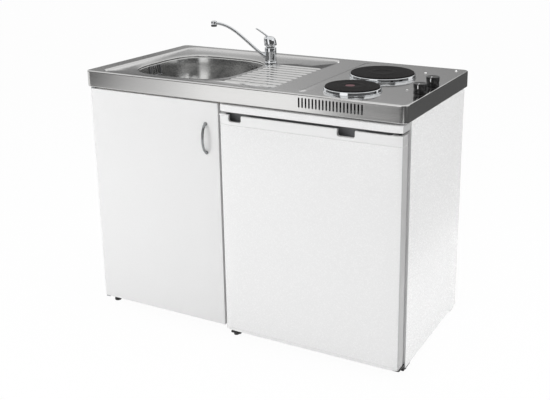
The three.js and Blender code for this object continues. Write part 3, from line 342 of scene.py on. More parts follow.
def finish(name, tones, roughness, scale, detail=2.0, stretch=None, bump=None, **shader_values):
    """A noise gives the tones, the roughness and a relief. Its scale is in lumps to the metre."""
    material, tree, shader, place = new_finish(name, **shader_values)
    if stretch:
        place = add_node(tree, "ShaderNodeMapping", {"Vector": place, "Scale": stretch}).outputs["Vector"]
    noise = add_node(tree, "ShaderNodeTexNoise", {"Vector": place, "Scale": scale, "Detail": detail})
    grain = noise.outputs["Fac"]
    tint(tree, shader, grain, *tones)
    vary_roughness(tree, shader, grain, *roughness)
    if bump:
        relief(tree, shader, grain, *bump)
    return material


# %% [markdown]
# ## Stainless steel
# The worktop is rolled stainless sheet with a fine brushed finish. The brush lines run along the unit and
# are about 0.1 mm apart, too fine for this picture, so they are drawn about 1 mm apart and very shallow:
# the eye gets long soft reflections. The bowl is the same steel, dulled evenly by the deep drawing, so that
# it shows soft lights and darks instead of a mirror picture. Anisotropy could draw the brushing, but lines
# hold in any view.

# %% Stainless finishes
# brushed rolled sheet: long soft reflections, drawn out across the lines
steel = finish("brushed_stainless", ("#c6c6c5", "#cecdcc"), (0.09, 0.13), 1.0, 3.0,
               stretch=(6, 900, 900), bump=(0.00001, 0.2), Metallic=1.0)
# deep-drawn sheet: wide, soft lights and darks
bowl_steel = finish("drawn_stainless", ("#bcbcbb", "#c4c4c3"), (0.2, 0.26), 60.0, 4.0, Metallic=1.0)
print("steel:", steel.name, "and", bowl_steel.name)

# %% [markdown]
# ## Chrome, zinc and iron
# Tap and trim rings are chrome on brass or steel: a clean mirror whose roughness only varies where it has
# been wiped. The handle's chrome is darker and satin. Hidden brackets are zinc plated, with the plate's
# dull spangle. The hotplates are cast iron with a baked black coat: rough, and a little grainy from the
# sand mould, so that they stay black under the lamps.

# %% Chrome, zinc, cast iron
def zinc_plate():
    """Zinc on pressed steel: dull grey crystals, about 4 mm across."""
    material, tree, shader, place = new_finish("zinc_plate", Metallic=1.0)
    spangle = add_node(tree, "ShaderNodeTexVoronoi", {"Vector": place, "Scale": 260.0})
    tint(tree, shader, spangle.outputs["Distance"], "#a9acae", "#b9bbbd")
    vary_roughness(tree, shader, spangle.outputs["Distance"], 0.35, 0.5)
    return material


# plated brass, polished: a clean mirror
chrome = finish("chrome_plate", ("#d2d4d6", "#dadcde"), (0.05, 0.1), 90.0, Metallic=1.0)
# plated and brushed: darker, with soft lights
bow_chrome = finish("satin_handle_chrome", ("#8c8e90", "#969899"), (0.1, 0.16), 120.0, Metallic=1.0)
zinc = zinc_plate()
# sand cast, turned and coated with black stove paint: dull black grain of about 1 mm
iron = finish("coated_cast_iron", ("#141313", "#1a1919"), (0.75, 0.9), 900.0, 4.0, bump=(0.00015, 0.5),
              IOR=1.5, Specular_IOR_Level=0.2)
print("plated and cast:", chrome.name, bow_chrome.name, zinc.name, iron.name)

# %% [markdown]
# ## Board, enamel and plastics
# The cabinet is chipboard faced with white melamine, which has a faint pebble from the press plate. The
# refrigerator is white stove enamel with a soft orange peel. Its cap, liner and bins are moulded plastic,
# its shelves glass, and the battens planed softwood. All but the wood differ only in tone, gloss and the
# spacing and depth of their pebble, so one function with real millimetres makes them, and each catches
# light a little apart.

# %% Board, enamel, plastics, rubber, glass, wood
PEBBLE = 0.05  # the share of the pebble's real depth that shading shows


def pebbled(name, low, high, roughness, spacing_mm, depth_mm, ior=1.5, **more):
    return finish(name, (low, high), (roughness - 0.04, roughness + 0.04), 1000 / spacing_mm,
                  bump=(depth_mm / 1000, PEBBLE), IOR=ior, **more)


# planed spruce with grain lines along the batten, in a darker brown than spruce's own as painted shade: it
# sends less light into the gap under the fascia
softwood_darkened_for_shade = finish("planed_softwood_darkened_for_shade", ("#6f5636", "#8d7048"), (0.6, 0.8), 1.6, 6.0, stretch=(3, 90, 90),
                  bump=(0.0004, 0.4), IOR=1.5)
# pressed melamine on chipboard: white and half matt, with a fine pebble
melamine = pebbled("melamine_board", "#e9e9e9", "#ededed", 0.42, 1.6, 0.02)
# pressed fibre, painted: off-white and matt
hardboard = pebbled("painted_hardboard", "#d5d3cd", "#dddbd6", 0.7, 2.0, 0.1)
# sprayed and baked enamel: a clean white, glossy, with a wide soft orange peel
enamel = pebbled("stove_enamel", "#f0f0f0", "#f2f2f2", 0.26, 3.0, 0.005)
# moulded and extruded plastics: a little less gloss than the enamel, with a fine pebble
white_plastic = pebbled("white_moulded_abs", "#ececec", "#f0f0f0", 0.32, 1.2, 0.008)
# grey for the refrigerator's sideways faces: a grey profile on the upright edges, and painted shade on the
# last curved strip of each crowned front
profile_and_edge_shade_grey = pebbled("grey_profile_with_painted_edge_shade", "#b4b4b4", "#bababa", 0.4, 1.2, 0.01)
black_plastic = pebbled("black_moulded_phenolic", "#101010", "#181818", 0.28, 0.8, 0.02)
# grey polypropylene for the duct and the switches; the same grey is painted shade inside the door cap's grip
# channel
grey_plastic_and_grip_shade = pebbled("grey_polypropylene_and_grip_shade", "#6d6e70", "#78797b", 0.5, 1.2, 0.03)
trap_plastic = pebbled("white_polypropylene", "#e6e6e4", "#ececea", 0.45, 1.2, 0.03)
# vacuum-formed polystyrene: a cool white, half matt
liner_plastic = pebbled("formed_polystyrene", "#f1f2f2", "#f5f6f6", 0.38, 1.5, 0.02)
# extruded soft vinyl: mid grey and matt
vinyl = pebbled("soft_vinyl_gasket", "#606163", "#68696b", 0.6, 1.0, 0.03)
# stoved paint on steel: black, half matt
black_paint = pebbled("black_stoved_paint", "#141414", "#1c1c1c", 0.45, 1.5, 0.02)
# clear drawer, glass shelf and lamp lens: what lies behind shows through
clear_plastic = pebbled("clear_polystyrene", "#eef3f5", "#f4f8f9", 0.08, 4.0, 0.01, ior=1.59,
                        Transmission_Weight=0.85)
shelf_glass = pebbled("toughened_glass", "#e6f2ee", "#edf6f3", 0.05, 9.0, 0.002, ior=1.52,
                      Transmission_Weight=0.9)
lamp_lens = pebbled("lamp_lens", "#f1f1f1", "#fafafa", 0.1, 0.8, 0.02, ior=1.49, Transmission_Weight=0.3)
# printed marks: even colour, matt
marker_paint = pebbled("white_marker_paint", "#f0f0f0", "#fbfbfb", 0.5, 0.8, 0.01)
red_paint = pebbled("red_marker_paint", "#4a1c25", "#56222c", 0.5, 0.8, 0.01)
print("finishes:", len(bpy.data.materials))

# %% [markdown]
# ## Parts that keep their shape
# Brackets, boards, the trap and the refrigerator's body and inside are already as fine in the model as the
# eye sees them. They could be made again as meshes, but a finish of their own is all that they lack.

# %% Finishes for the nodes that keep their shape
KEPT = (
    (softwood_darkened_for_shade, "batten_front batten_rear batten_middle"),
    (zinc, "plate_clamp_front plate_clamp_rear hob_tray tap_nut door_hinge_upper door_hinge_lower"),
    (melamine, "cabinet_partition cabinet_bottom cabinet_rail"),
    (hardboard, "cabinet_back"),
    (enamel, "fridge_cabinet"),
    (liner_plastic, "fridge_door_liner freezer_box"),
    (white_plastic, "freezer_flap thermostat_knob magnetic_catch"),
    (trap_plastic, "bottle_trap"),
    (black_plastic, "cable_gland fridge_foot_right"),
    (grey_plastic_and_grip_shade, "overflow_duct switch_front switch_rear"),
    (black_paint, "fridge_hinge_upper compressor condenser"),
    (clear_plastic, "crisper_drawer"),
    (shelf_glass, "shelf_upper crisper_cover"),
    (lamp_lens, "pilot_lamp"),
    (chrome, "tap_ball"))
for material, names in KEPT:
    for name in names.split():
        nodes[name].data.materials.clear()
        nodes[name].data.materials.append(material)
print("nodes with a finish:", sum(len(names.split()) for _, names in KEPT))

# %% [markdown]
# ## The pressed worktop
# The real top is one sheet. The press lowers the sink and drainer field by 4 mm, raises the drainer's ribs
# and the low rib beside the hob, rolls the rim of the bowl down and folds the edges into a fascia.
# Subdivision could shape it from a box, but a height for each point, over triangles that follow those
# forms, gives the soft pressed bends at their real radii, and a Solidify modifier gives the sheet its 1.2
# mm.

# %% Heights of the sheet
SHEET = 0.0012
FASCIA = 0.056
CORNER = 0.022
top_low, top_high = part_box("worktop")
TOP = top_low.z + FASCIA
# left, right, front, back, corner radius
FIELD = (-0.548, 0.130, -0.283 + UNIT_BACK, 0.268 + UNIT_BACK, 0.042)
FIELD_DEPTH, FIELD_SIDE = 0.004, 0.007  # how deep it is, and how wide its sloping side
BOWL_FALL = 0.0031  # the floor round the bowl falls this much more, so that it drains
FALL_REACH = 0.27  # how far from the bowl that fall begins, as a share of the bowl's half width
BOWL = (-0.296, -0.029 + UNIT_BACK)
BOWL_HALF = 0.190
BOWL_EXPONENT = 3.4
RIB_HALF, RIB_HEIGHT = 0.0065, 0.003
RIBS = [-0.215 + UNIT_BACK + 0.035 * i for i in range(10)]
RIB_ENDS = (-0.079 + RIB_HALF, 0.121 - RIB_HALF)
RIM_REACH = 0.0085  # from the bowl's side to the line where the sheet starts to roll down
HOB_RIB_HALF, HOB_RIB_HEIGHT = 0.006, 0.0006
HOB_RIB = (0.228, -0.262 + HOB_RIB_HALF + UNIT_BACK, 0.262 - HOB_RIB_HALF + UNIT_BACK)
PLATES = [("front", (0.368, -0.172 + UNIT_BACK), 0.0866), ("rear", (0.368, 0.070 + UNIT_BACK), 0.107)]


def ease(t):
    t = min(max(t, 0.0), 1.0)
    return t * t * (3 - 2 * t)


def into_field(x, y):
    """How far a point lies inside the lowered field, in metres."""
    left, right, front, back, radius = FIELD
    dx = abs(x - (left + right) / 2) - ((right - left) / 2 - radius)
    dy = abs(y - (front + back) / 2) - ((back - front) / 2 - radius)
    return radius - math.hypot(max(dx, 0), max(dy, 0)) - min(max(dx, dy), 0)


def from_rib(x, y):
    """The distance to the nearest drainer rib's middle line."""
    return min(math.hypot(max(RIB_ENDS[0] - x, x - RIB_ENDS[1], 0), y - rib) for rib in RIBS)


def around_bowl(x, y):
    """1 on the edge of the bowl's hole, and growing away from it."""
    grow = BOWL_HALF + RIM_REACH
    return (abs((x - BOWL[0]) / grow) ** BOWL_EXPONENT
            + abs((y - BOWL[1]) / grow) ** BOWL_EXPONENT) ** (1 / BOWL_EXPONENT)


def height(x, y):
    fall = BOWL_FALL * min(max(1 - (around_bowl(x, y) - 1) / FALL_REACH, 0), 1)
    drop = -(FIELD_DEPTH + fall) * ease((into_field(x, y) + 0.001) / FIELD_SIDE)
    rib = RIB_HEIGHT * ease(1 - from_rib(x, y) / RIB_HALF)
    beside = (x - HOB_RIB[0]) * (0.25 if x > HOB_RIB[0] else 1)  # its right side runs out slowly
    hob = math.hypot(beside, max(HOB_RIB[1] - y, y - HOB_RIB[2], 0))
    return TOP + drop + rib + HOB_RIB_HEIGHT * ease(1 - hob / HOB_RIB_HALF)


print("field:", [round(height(x, BOWL[1]) - TOP, 4) for x in (-0.59, -0.52, 0.0, 0.16, 0.25)])

# %% [markdown]
# ## Triangles that follow the pressing
# A press leaves a crease wherever a form starts and ends. A plain grid would cut across those lines and
# show steps, and a very fine one would be slow. So outlines are laid along every form, a triangulation is
# made that keeps them as edges, and holding lines beside the flats keep these flat in the steel's
# reflections.

# %% Sheet between its edges
FOLD = 0.008  # the flat sheet ends this far inside the outline, and its rolled edge takes over
HOLE_LAP = 0.007  # each hotplate covers this much of the sheet


def plan(inset):
    return rounded_rectangle(top_low.x + inset, top_high.x - inset, top_low.y + inset, top_high.y - inset,
                             CORNER - inset, hold=0.001)


def slot_outline(centre_line, half, along_x, steps=6, spacing=0.02):
    """The outline at a distance from a straight line, with points along its sides."""
    (x0, y0), (x1, y1) = centre_line
    count = max(int(math.hypot(x1 - x0, y1 - y0) / spacing), 1)
    start, (nx, ny) = (90, (0, 1)) if along_x else (180, (-1, 0))
    side = [(x0 + (x1 - x0) * t, y0 + (y1 - y0) * t) for t in (i / count for i in range(1, count))]
    return ([(x + nx * half, y + ny * half) for x, y in side[::-1]]
            + arc((x0, y0), start, 180, steps, half)
            + [(x - nx * half, y - ny * half) for x, y in side]
            + arc((x1, y1), start + 180, 180, steps, half))


def bowl_outline(grow, exponent=BOWL_EXPONENT):
    return super_ellipse(BOWL_HALF + grow, exponent, BOWL)


loops = [plan(FOLD), plan(FOLD + 0.001), bowl_outline(RIM_REACH), bowl_outline(RIM_REACH + 0.001)]
loops += [circle(centre, radius - HOLE_LAP) for _, centre, radius in PLATES]
left, right, front, back, radius = FIELD
for inset in (-0.0025, -0.0015, 0.0, 0.001, 0.002, 0.003, 0.004, 0.005, 0.0065):
    loops.append(rounded_rectangle(left + inset, right - inset, front + inset, back - inset,
                                   radius - inset, 16))
loops += [bowl_outline(reach) for reach in (0.014, 0.022, 0.032)]
for rib in RIBS:
    for half in (0.001, 0.0022, 0.0034, 0.0046, 0.0058, RIB_HALF):
        loops.append(slot_outline([(RIB_ENDS[0], rib), (RIB_ENDS[1], rib)], half, True))
for half in (0.001, 0.0025, 0.004, 0.006, 0.010, 0.014, 0.019, 0.024):
    loops.append(slot_outline([(HOB_RIB[0], HOB_RIB[1]), (HOB_RIB[0], HOB_RIB[2])], half, False))
flat_points, edges = [], []
for loop in loops:
    start = len(flat_points)
    flat_points += [Vector(p) for p in loop]
    edges += [(start + i, start + (i + 1) % len(loop)) for i in range(len(loop))]
made_points, _, made_faces, _, _, _ = delaunay_2d_cdt(flat_points, edges, [], 0, 1e-6)


def is_sheet(face):
    x = sum(made_points[i].x for i in face) / 3
    y = sum(made_points[i].y for i in face) / 3
    dx = abs(x) - (top_high.x - CORNER)
    dy = abs(y - (top_low.y + top_high.y) / 2) - ((top_high.y - top_low.y) / 2 - CORNER)
    if dx > 0 and dy > 0 and math.hypot(dx, dy) > CORNER - FOLD:
        return False
    return around_bowl(x, y) > 1 and all(
        math.hypot(x - c[0], y - c[1]) > r - HOLE_LAP - 2e-4 for _, c, r in PLATES)


sheet_faces = [tuple(face) for face in made_faces if is_sheet(face)]
sheet = ([(p.x, p.y, height(p.x, p.y)) for p in made_points], sheet_faces)
print("sheet:", len(sheet[0]), "points,", len(sheet_faces), "triangles")

# %% [markdown]
# ## Folded edge and rolled rim
# The press brake folds the sheet down into a fascia and in again at its foot, and the bowl's hole is rolled
# down. A bevel on a box could stand for both, but a profile swept round the plan gives each bend its own
# radius, and one skin over all of it lets a Solidify modifier lay the sheet's thickness inside.

# %% Worktop
ROLL = 0.0035
RIM_ROLL = 0.0022
QUARTER = [math.radians(a) for a in range(0, 91, 15)]


def thicken(piece, upper_faces):
    """Gives a skin the sheet's thickness, below its upper side."""
    if sum(p.normal.z * p.area for p in upper_faces) < 0:
        piece.data.flip_normals()
    modifier = piece.modifiers.new("sheet", "SOLIDIFY")
    modifier.thickness = SHEET
    modifier.offset = -1
    apply_modifiers(piece)


edge_profile = [(FOLD, 0.0)] + [(ROLL - ROLL * math.sin(a), -ROLL + ROLL * math.cos(a)) for a in QUARTER]
edge_profile += [(0.0, -ROLL - 0.0005), (0.0, -FASCIA + 0.0026), (0.0, -FASCIA + 0.002),
                 (0.0006, -FASCIA + 0.0006), (0.002, -FASCIA), (0.014, -FASCIA)]
edge = skin([[(x, y, TOP + z) for x, y in plan(inset)] for inset, z in edge_profile], caps=False)
rim_profile = [(RIM_REACH - RIM_ROLL * math.sin(a), -RIM_ROLL + RIM_ROLL * math.cos(a)) for a in QUARTER]
rim_profile += [(RIM_REACH - RIM_ROLL, -RIM_ROLL - 0.0004), (0.0062, -0.0068)]
rim_top = TOP - FIELD_DEPTH - BOWL_FALL
rim = skin([[(x, y, rim_top + z) for x, y in bowl_outline(grow)] for grow, z in rim_profile], caps=False)
worktop = add_piece("worktop_sheet", *join(sheet, edge, rim), steel, "unit", ["worktop"], "pressed_steel")
thicken(worktop, [p for p in worktop.data.polygons if p.center.z > TOP - 0.001 and abs(p.normal.z) > 0.9])

# %% [markdown]
# ## Vent slots
# The compartment behind the fascia lets its heat out through nineteen punched slots with round ends. Black
# paint on the fascia would look flat from the side, so they are cut through the sheet with one boolean.

# %% Vents
VENT_MIDDLE, VENT_PITCH, VENT_DROP = 0.352, 0.0118, 0.026
VENT_HALF, VENT_HALF_HEIGHT = 0.0028, 0.016


def vent(x):
    straight = VENT_HALF_HEIGHT - VENT_HALF
    outline = slot_outline([(0, -straight), (0, straight)], VENT_HALF, False, steps=8, spacing=1.0)
    return skin([[(x + u, y, TOP - VENT_DROP + v) for u, v in outline]
                 for y in (top_low.y - 0.004, top_low.y + 0.008)])


cut_away(worktop, [vent(VENT_MIDDLE + VENT_PITCH * (i - 9)) for i in range(19)])
worktop.data.materials.clear()
worktop.data.materials.append(steel)
print("worktop:", len(worktop.data.polygons), "faces")

# %% [markdown]
# ## The bowl
# A deep-drawn bowl draws in a little towards its floor, turns through a generous radius and falls to a
# round waste. A smooth curve through a few levels gives the side, and each level is a superellipse that
# turns round towards the waste; a box with bevels would lose that change. The overflow slots are cut
# through the left wall, and the uncut bowl lends its normals, so that the cut doesn't disturb the
# reflections.

# %% Bowl
# how far outside the bowl's half width, height below the top, exponent of the superellipse
levels = smooth_curve([(0.0062, -0.0133, 3.4), (0.0035, -0.030, 3.4), (0.0012, -0.050, 3.4),
                       (-0.002, -0.070, 3.4), (-0.0065, -0.088, 3.4), (-0.014, -0.108, 3.4),
                       (-0.026, -0.130, 3.3), (-0.040, -0.1450, 3.2), (-0.062, -0.1535, 2.9),
                       (-0.095, -0.1580, 2.5), (-0.124, -0.1600, 2.1), (-0.136, -0.1615, 2.0)], 5)
wall = skin([[(x, y, TOP + z) for x, y in bowl_outline(grow, exponent)] for grow, z, exponent in levels],
            caps=False)
bowl = add_piece("bowl", *wall, bowl_steel, "unit", ["sink_bowl"], "bowl_steel")
thicken(bowl, bowl.data.polygons)
uncut = put("uncut", bowl.data.copy())
slots = []
for i in range(4):
    y = BOWL[1] - 0.022 + 0.013 * (i - 1.5)
    outline = slot_outline([(0, -0.010), (0, 0.010)], 0.003, False, steps=8, spacing=1.0)
    slots.append(skin([[(BOWL[0] - BOWL_HALF + x, y + u, TOP - 0.031 + v) for u, v in outline]
                       for x in (-0.010, 0.012)]))
cut_away(bowl, slots)
smooth = bowl.modifiers.new("smooth", "DATA_TRANSFER")
smooth.object = uncut
smooth.use_loop_data = True
smooth.data_types_loops = {"CUSTOM_NORMAL"}
smooth.loop_mapping = "POLYINTERP_LNORPROJ"
apply_modifiers(bowl)
bpy.data.objects.remove(uncut)
print("bowl:", len(bowl.data.polygons), "faces")

# %% [markdown]
# ## Waste and plug
# A basket strainer: a pressed flange clamped in the bowl's floor, and a lift-out basket with a knob. Both
# are turned or spun parts, so one profile each, turned on the lathe helper, is the whole shape.

# %% Waste and plug
floor_z = -0.162
drain = 0.045
drain_place = (*BOWL, TOP + floor_z)
waste_profile = [(drain + 0.009, 0.0008), (drain + 0.009, 0.0003), (drain - 0.001, 0.0003),
                 (drain - 0.001, -0.052), (0.020, -0.060), (0.020, -0.084), (0.017, -0.084),
                 (0.017, -0.056), (drain - 0.006, -0.048), (drain - 0.009, -0.026),
                 (drain - 0.009, -0.0213), (drain - 0.0035, -0.0213), (drain - 0.0035, -0.002),
                 (drain - 0.002, 0.0), (drain + 0.001, 0.0012), (drain + 0.004, 0.0018),
                 (drain + 0.007, 0.0016)]
add_piece("waste_flange", *lathe(waste_profile, drain_place, 72), chrome, "unit", ["waste_body"], "chrome")
plug_profile = [(0, -0.021), (0.0378, -0.021), (0.0408, -0.018), (0.0408, -0.002), (0.0396, -0.0012),
                (0.0384, -0.002), (0.0372, -0.008), (0.0358, -0.0145), (0.030, -0.0155), (0.008, -0.015),
                (0.0045, -0.013), (0.004, -0.004), (0.0055, -0.0005), (0.0075, 0.001), (0.0078, 0.003),
                (0.006, 0.0046), (0, 0.005)]
add_piece("plug_basket", *lathe(plug_profile, drain_place, 72), chrome, "plug", ["basket_plug"], "chrome")

# %% [markdown]
# ## The mixer tap
# A single-lever mixer: a round body, a slim swivel spout that rises and bends over the bowl, and a domed
# cap with a thin lever. The real ones are turned, bent and cast. Turned rings make the body, and tubes that
# taper along a smooth curve make spout and lever, which a sweep of one even section could not.

# %% Tap
TAP = Vector((-0.104, 0.135 + UNIT_BACK, TOP))
HEADING = math.radians(219.7)
ahead = Vector((math.cos(HEADING), math.sin(HEADING), 0))


def place_on_tap(shape):
    """A shape given along the spout, across it and up, placed at the tap."""
    across = Vector((-ahead.y, ahead.x, 0))
    points, faces = shape
    return [tuple(TAP + ahead * x + across * y + Vector((0, 0, z))) for x, y, z in points], faces


body_profile = [(0, -0.0037), (0.0235, -0.0037), (0.0235, -0.0015), (0.0228, 0.0), (0.0212, 0.0012),
                (0.021, 0.002), (0.021, 0.0127), (0.0171, 0.0127), (0.0171, 0.0363), (0.021, 0.0363),
                (0.021, 0.0505), (0.0206, 0.0515), (0.0198, 0.052), (0.0192, 0.0512),
                (0.0165, 0.049), (0, 0.043)]
shank = [(0, -0.0457), (0.015, -0.0457), (0.015, -0.0037), (0, -0.0037)]
add_piece("tap_column", *place_on_tap(join(lathe(body_profile, segments=72), lathe(shank, segments=48))),
          chrome, "unit", ["tap_body"], "chrome")

# %% [markdown]
# ## The spout
# A chromed tube, about 10 mm thick, that swells where it leaves its collar and ends in a turned nozzle with
# a black plastic aerator. A curve through points read off the photograph gives its rise and bend, and a
# tube along that curve can taper as the real one does.

# %% Spout
SPOUT_REACH = (0.203, 0, 0)
collar_profile = [(0.0176, 0.013), (0.0211, 0.013), (0.0211, 0.036), (0.0176, 0.036)]
route = smooth_curve([(0.0185, 0, 0.0195), (0.0300, 0, 0.0275), (0.0474, 0, 0.0415), (0.0858, 0, 0.0784),
                      (0.124, 0, 0.113), (0.151, 0, 0.1317), (0.170, 0, 0.1408), (0.188, 0, 0.146),
                      (0.199, 0, 0.1472)], 8)
radii = [0.0052 + 0.004 * ease(1 - i / 14) for i in range(len(route))]
nozzle_profile = [(0, 0.1412), (0.0096, 0.1412), (0.0100, 0.1420), (0.0100, 0.1525), (0.0094, 0.1542),
                  (0.0074, 0.155), (0, 0.155)]
spout = join(lathe(collar_profile, segments=72), tube(route, radii, 28),
             lathe(nozzle_profile, SPOUT_REACH, 48))
add_piece("spout_arm", *place_on_tap(spout), chrome, "spout", ["tap_spout"], "chrome")
aerator_profile = [(0, 0.1367), (0.0080, 0.1367), (0.0084, 0.1354), (0.0096, 0.1354), (0.0103, 0.1360),
                   (0.0104, 0.1375), (0.0104, 0.1400), (0.0100, 0.1409), (0, 0.1409)]
add_piece("spout_aerator", *place_on_tap(lathe(aerator_profile, SPOUT_REACH, 48)), black_plastic, "spout",
          ["tap_aerator"], "black_plastic")

# %% [markdown]
# ## Cap and lever
# The cap is a cast dome, hollow below, that rocks on the ball. Its crown leans to the front, where the flat
# lever leaves it. The dome is turned first and leaned afterwards, which is easier than to model it leaning.

# %% Cap and lever
BALL_HEIGHT = 0.062
CAP_HOLLOW = 0.0191  # radius of the cap's hollow, 0.6 mm more than the ball's, so that it clears when it tips
dome_profile = [(0.0190, 0.0602), (0.0224, 0.0602), (0.0228, 0.0612), (0.0225, 0.068), (0.0219, 0.078),
                (0.0206, 0.0845), (0.0178, 0.0890), (0.0135, 0.0915), (0.007, 0.0926), (0, 0.0928)]
dome_profile += [(CAP_HOLLOW * math.sin(a), BALL_HEIGHT + CAP_HOLLOW * math.cos(a))
                 for a in (math.radians(degrees) for degrees in range(0, 91, 10))]
dome_points, dome_faces = lathe(dome_profile, segments=72)
CROWN_FROM = 0.066  # the crown leans from this height up
LEAN, TIP = math.tan(math.radians(9)), 0.09 / 0.029


def leaned(x, y, z):
    """The crown leans forward and its top tips up; the hollow stays round about the ball."""
    above = max(z - CROWN_FROM, 0) if math.hypot(x, y, z - BALL_HEIGHT) > CAP_HOLLOW + 0.0005 else 0
    return x + above * LEAN, y, z + above * TIP * x


dome_points = [leaned(*p) for p in dome_points]
lever_route = smooth_curve([(0.004, 0, 0.0875), (0.013, 0, 0.0950), (0.030, 0, 0.1082), (0.043, 0, 0.1175),
                            (0.0520, 0, 0.1232)], 6)
lever_radii = [0.0042 - 0.0012 * i / len(lever_route) for i in range(len(lever_route))]
lever_radii[-1] = 0.0016
lever = tube(lever_route, lever_radii, 24, (1.6, 0.85))
add_piece("lever_cap", *place_on_tap(join((dome_points, dome_faces), lever)), chrome, "mixer_lever",
          ["tap_lever"], "chrome")

# %% [markdown]
# ## The hob
# Each hotplate is turned cast iron: a flat face with fine turned rings, a sunken middle, and a rounded edge
# that stands in a bright overflow ring. The rings carry a soft roll that throws the long highlights of the
# photograph. Everything is round, so profiles on the lathe helper give it, down to the half-millimetre
# grooves.

# %% Hotplates and rings
PLATE_TOP = 0.015
for place, centre, radius in PLATES:
    throat = radius - 0.009
    profile = [(0, -0.008), (throat - 0.022, -0.008), (throat - 0.018, -0.012), (throat, -0.012),
               (throat, 0.003), (radius - 0.003, 0.005), (radius - 0.0008, 0.0065), (radius, 0.0085),
               (radius, PLATE_TOP - 0.0022), (radius - 0.0006, PLATE_TOP - 0.0008),
               (radius - 0.002, PLATE_TOP)]
    dish = radius * 0.3
    grooves = int((radius - dish - 0.012) / 0.007)
    for groove in range(grooves):
        r = radius - 0.007 - 0.007 * groove
        profile += [(r + 0.0009, PLATE_TOP), (r, PLATE_TOP - 0.0005), (r - 0.0009, PLATE_TOP)]
    profile += [(dish + 0.001, PLATE_TOP), (dish, PLATE_TOP - 0.0003), (dish - 0.001, PLATE_TOP - 0.0012),
                (dish - 0.002, PLATE_TOP - 0.0014), (0, PLATE_TOP - 0.0014)]
    stud = lathe([(0, -0.034), (0.004, -0.034), (0.004, -0.008), (0, -0.008)], (*centre, TOP), 24)
    add_piece(f"plate_{place}", *join(lathe(profile, (*centre, TOP), 128), stud), iron, "unit",
              [f"hotplate_{place}"], "cast_iron", smooth_below=30)
    inner = throat + 0.0026
    ring = [(inner, 0.0003), (radius + 0.008, 0.0003), (radius + 0.0078, 0.0008), (radius + 0.0052, 0.0010),
            (radius + 0.0050, 0.0012), (radius + 0.0046, 0.0092), (radius + 0.0042, 0.0101),
            (radius + 0.0030, 0.0108), (radius + 0.0016, 0.0110), (radius + 0.0007, 0.0105),
            (radius + 0.0012, 0.009), (radius + 0.0019, 0.006), (radius + 0.0014, 0.0022), (inner, 0.0014)]
    add_piece(f"overflow_ring_{place}", *lathe(ring, (*centre, TOP), 128), chrome, "unit",
              [f"trim_ring_{place}"], "chrome")

# %% [markdown]
# ## Knobs
# Black moulded knobs, nearly straight-sided, with a shallow waist, sixteen flutes for the fingers and a
# white line that shows their setting. They could be modelled by subdivision, but a turned body with the
# flutes cut out is how the mould itself is made. The front plate also has its small round mark.

# %% Knobs
def strip(centre, half, front, back, low, high):
    """A thin bar that points from the knob's middle to the front."""
    x, y, z = centre
    return prism([(x - half, y - front), (x + half, y - front), (x + half, y - back), (x - half, y - back)],
                 z + low, z + high)


for place in ("front", "rear"):
    low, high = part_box(f"knob_{place}")
    centre = ((low.x + high.x) / 2, (low.y + high.y) / 2, low.z)
    body = lathe([(0, 0), (0.0210, 0), (0.0213, 0.0012), (0.0208, 0.0034), (0.0204, 0.0052), (0.0204, 0.0110),
                  (0.0208, 0.0135), (0.0213, 0.0150), (0.0213, 0.0268), (0.0210, 0.0284),
                  (0.0200, 0.029), (0, 0.029)], centre, 72)
    knob = add_piece(f"control_{place}", *body, black_plastic, f"knob_{place}", [f"knob_{place}"],
                     "black_plastic")
    flutes = []
    for c, s in circle((0, 0), 1, 16):
        outline = [(centre[0] + (0.0232 + u) * c - v * s, centre[1] + (0.0232 + u) * s + v * c)
                   for u, v in circle((0, 0), 0.0028, 12)]
        flutes.append(prism(outline, centre[2] + 0.014, centre[2] + 0.033))
    cut_away(knob, flutes)
    pointer = join(strip(centre, 0.0012, 0.0195, 0.006, 0.0286, 0.0293),
                   strip(centre, 0.0013, 0.0216, 0.0200, 0.015, 0.026))
    add_piece(f"pointer_{place}", *pointer, marker_paint, f"knob_{place}")
MARK_LEFT = 0.008  # from the front plate's middle
front_x, front_y = PLATES[0][1]
mark = lathe([(0, -0.0015), (0.0150, -0.0015), (0.0150, -0.0012), (0, -0.0012)],
             (front_x - MARK_LEFT, front_y, TOP + PLATE_TOP), 32)
add_piece("front_plate_mark", *mark, red_paint, "unit")

# %% [markdown]
# ## Stud heads
# Three small white round heads stand on the worktop: one between drainer and hob, one behind the rear plate
# and one in the corner. They could be flat discs, but a turned dome catches the light as the real ones do.

# %% Stud heads
for place, x, y in (("middle", 0.1275, 0.2308), ("rear_plate", 0.4805, 0.1826), ("corner", 0.5645, 0.2594)):
    head = lathe([(0, -0.0004), (0.0046, -0.0004), (0.0046, 0.0004), (0.0043, 0.0012), (0.0034, 0.0021),
                  (0.0018, 0.0027), (0, 0.0028)], (x, y + UNIT_BACK, height(x, y + UNIT_BACK)), 24)
    add_piece(f"stud_{place}", *head, marker_paint, "unit", (), "white_plastic")

# %% [markdown]
# ## The cabinet door and its handle
# The board's edges are banded, which leaves a tiny round on each edge; it shows as a fine bright line, so
# the two boards in sight are made again with a bevel. The handle is a slim chromed bow on two small feet.
# It is bent from bar, and a tube along a Bezier curve keeps its slight thinning in the middle.

# %% Door and handle
def banded_board(name, node, material, body, slot, round_edge=0.0012):
    low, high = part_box(node)
    shape = bmesh.new()
    bmesh.ops.create_cube(shape, size=1.0)
    for vertex in shape.verts:
        vertex.co = Vector([(low[k] + high[k]) / 2 + vertex.co[k] * (high[k] - low[k]) for k in range(3)])
    bmesh.ops.bevel(shape, geom=shape.edges, offset=round_edge, segments=3, affect="EDGES", profile=0.5)
    points = [v.co.copy() for v in shape.verts]
    shape.verts.index_update()
    faces = [tuple(v.index for v in f.verts) for f in shape.faces]
    shape.free()
    return add_piece(name, points, faces, material, body, [node], slot)


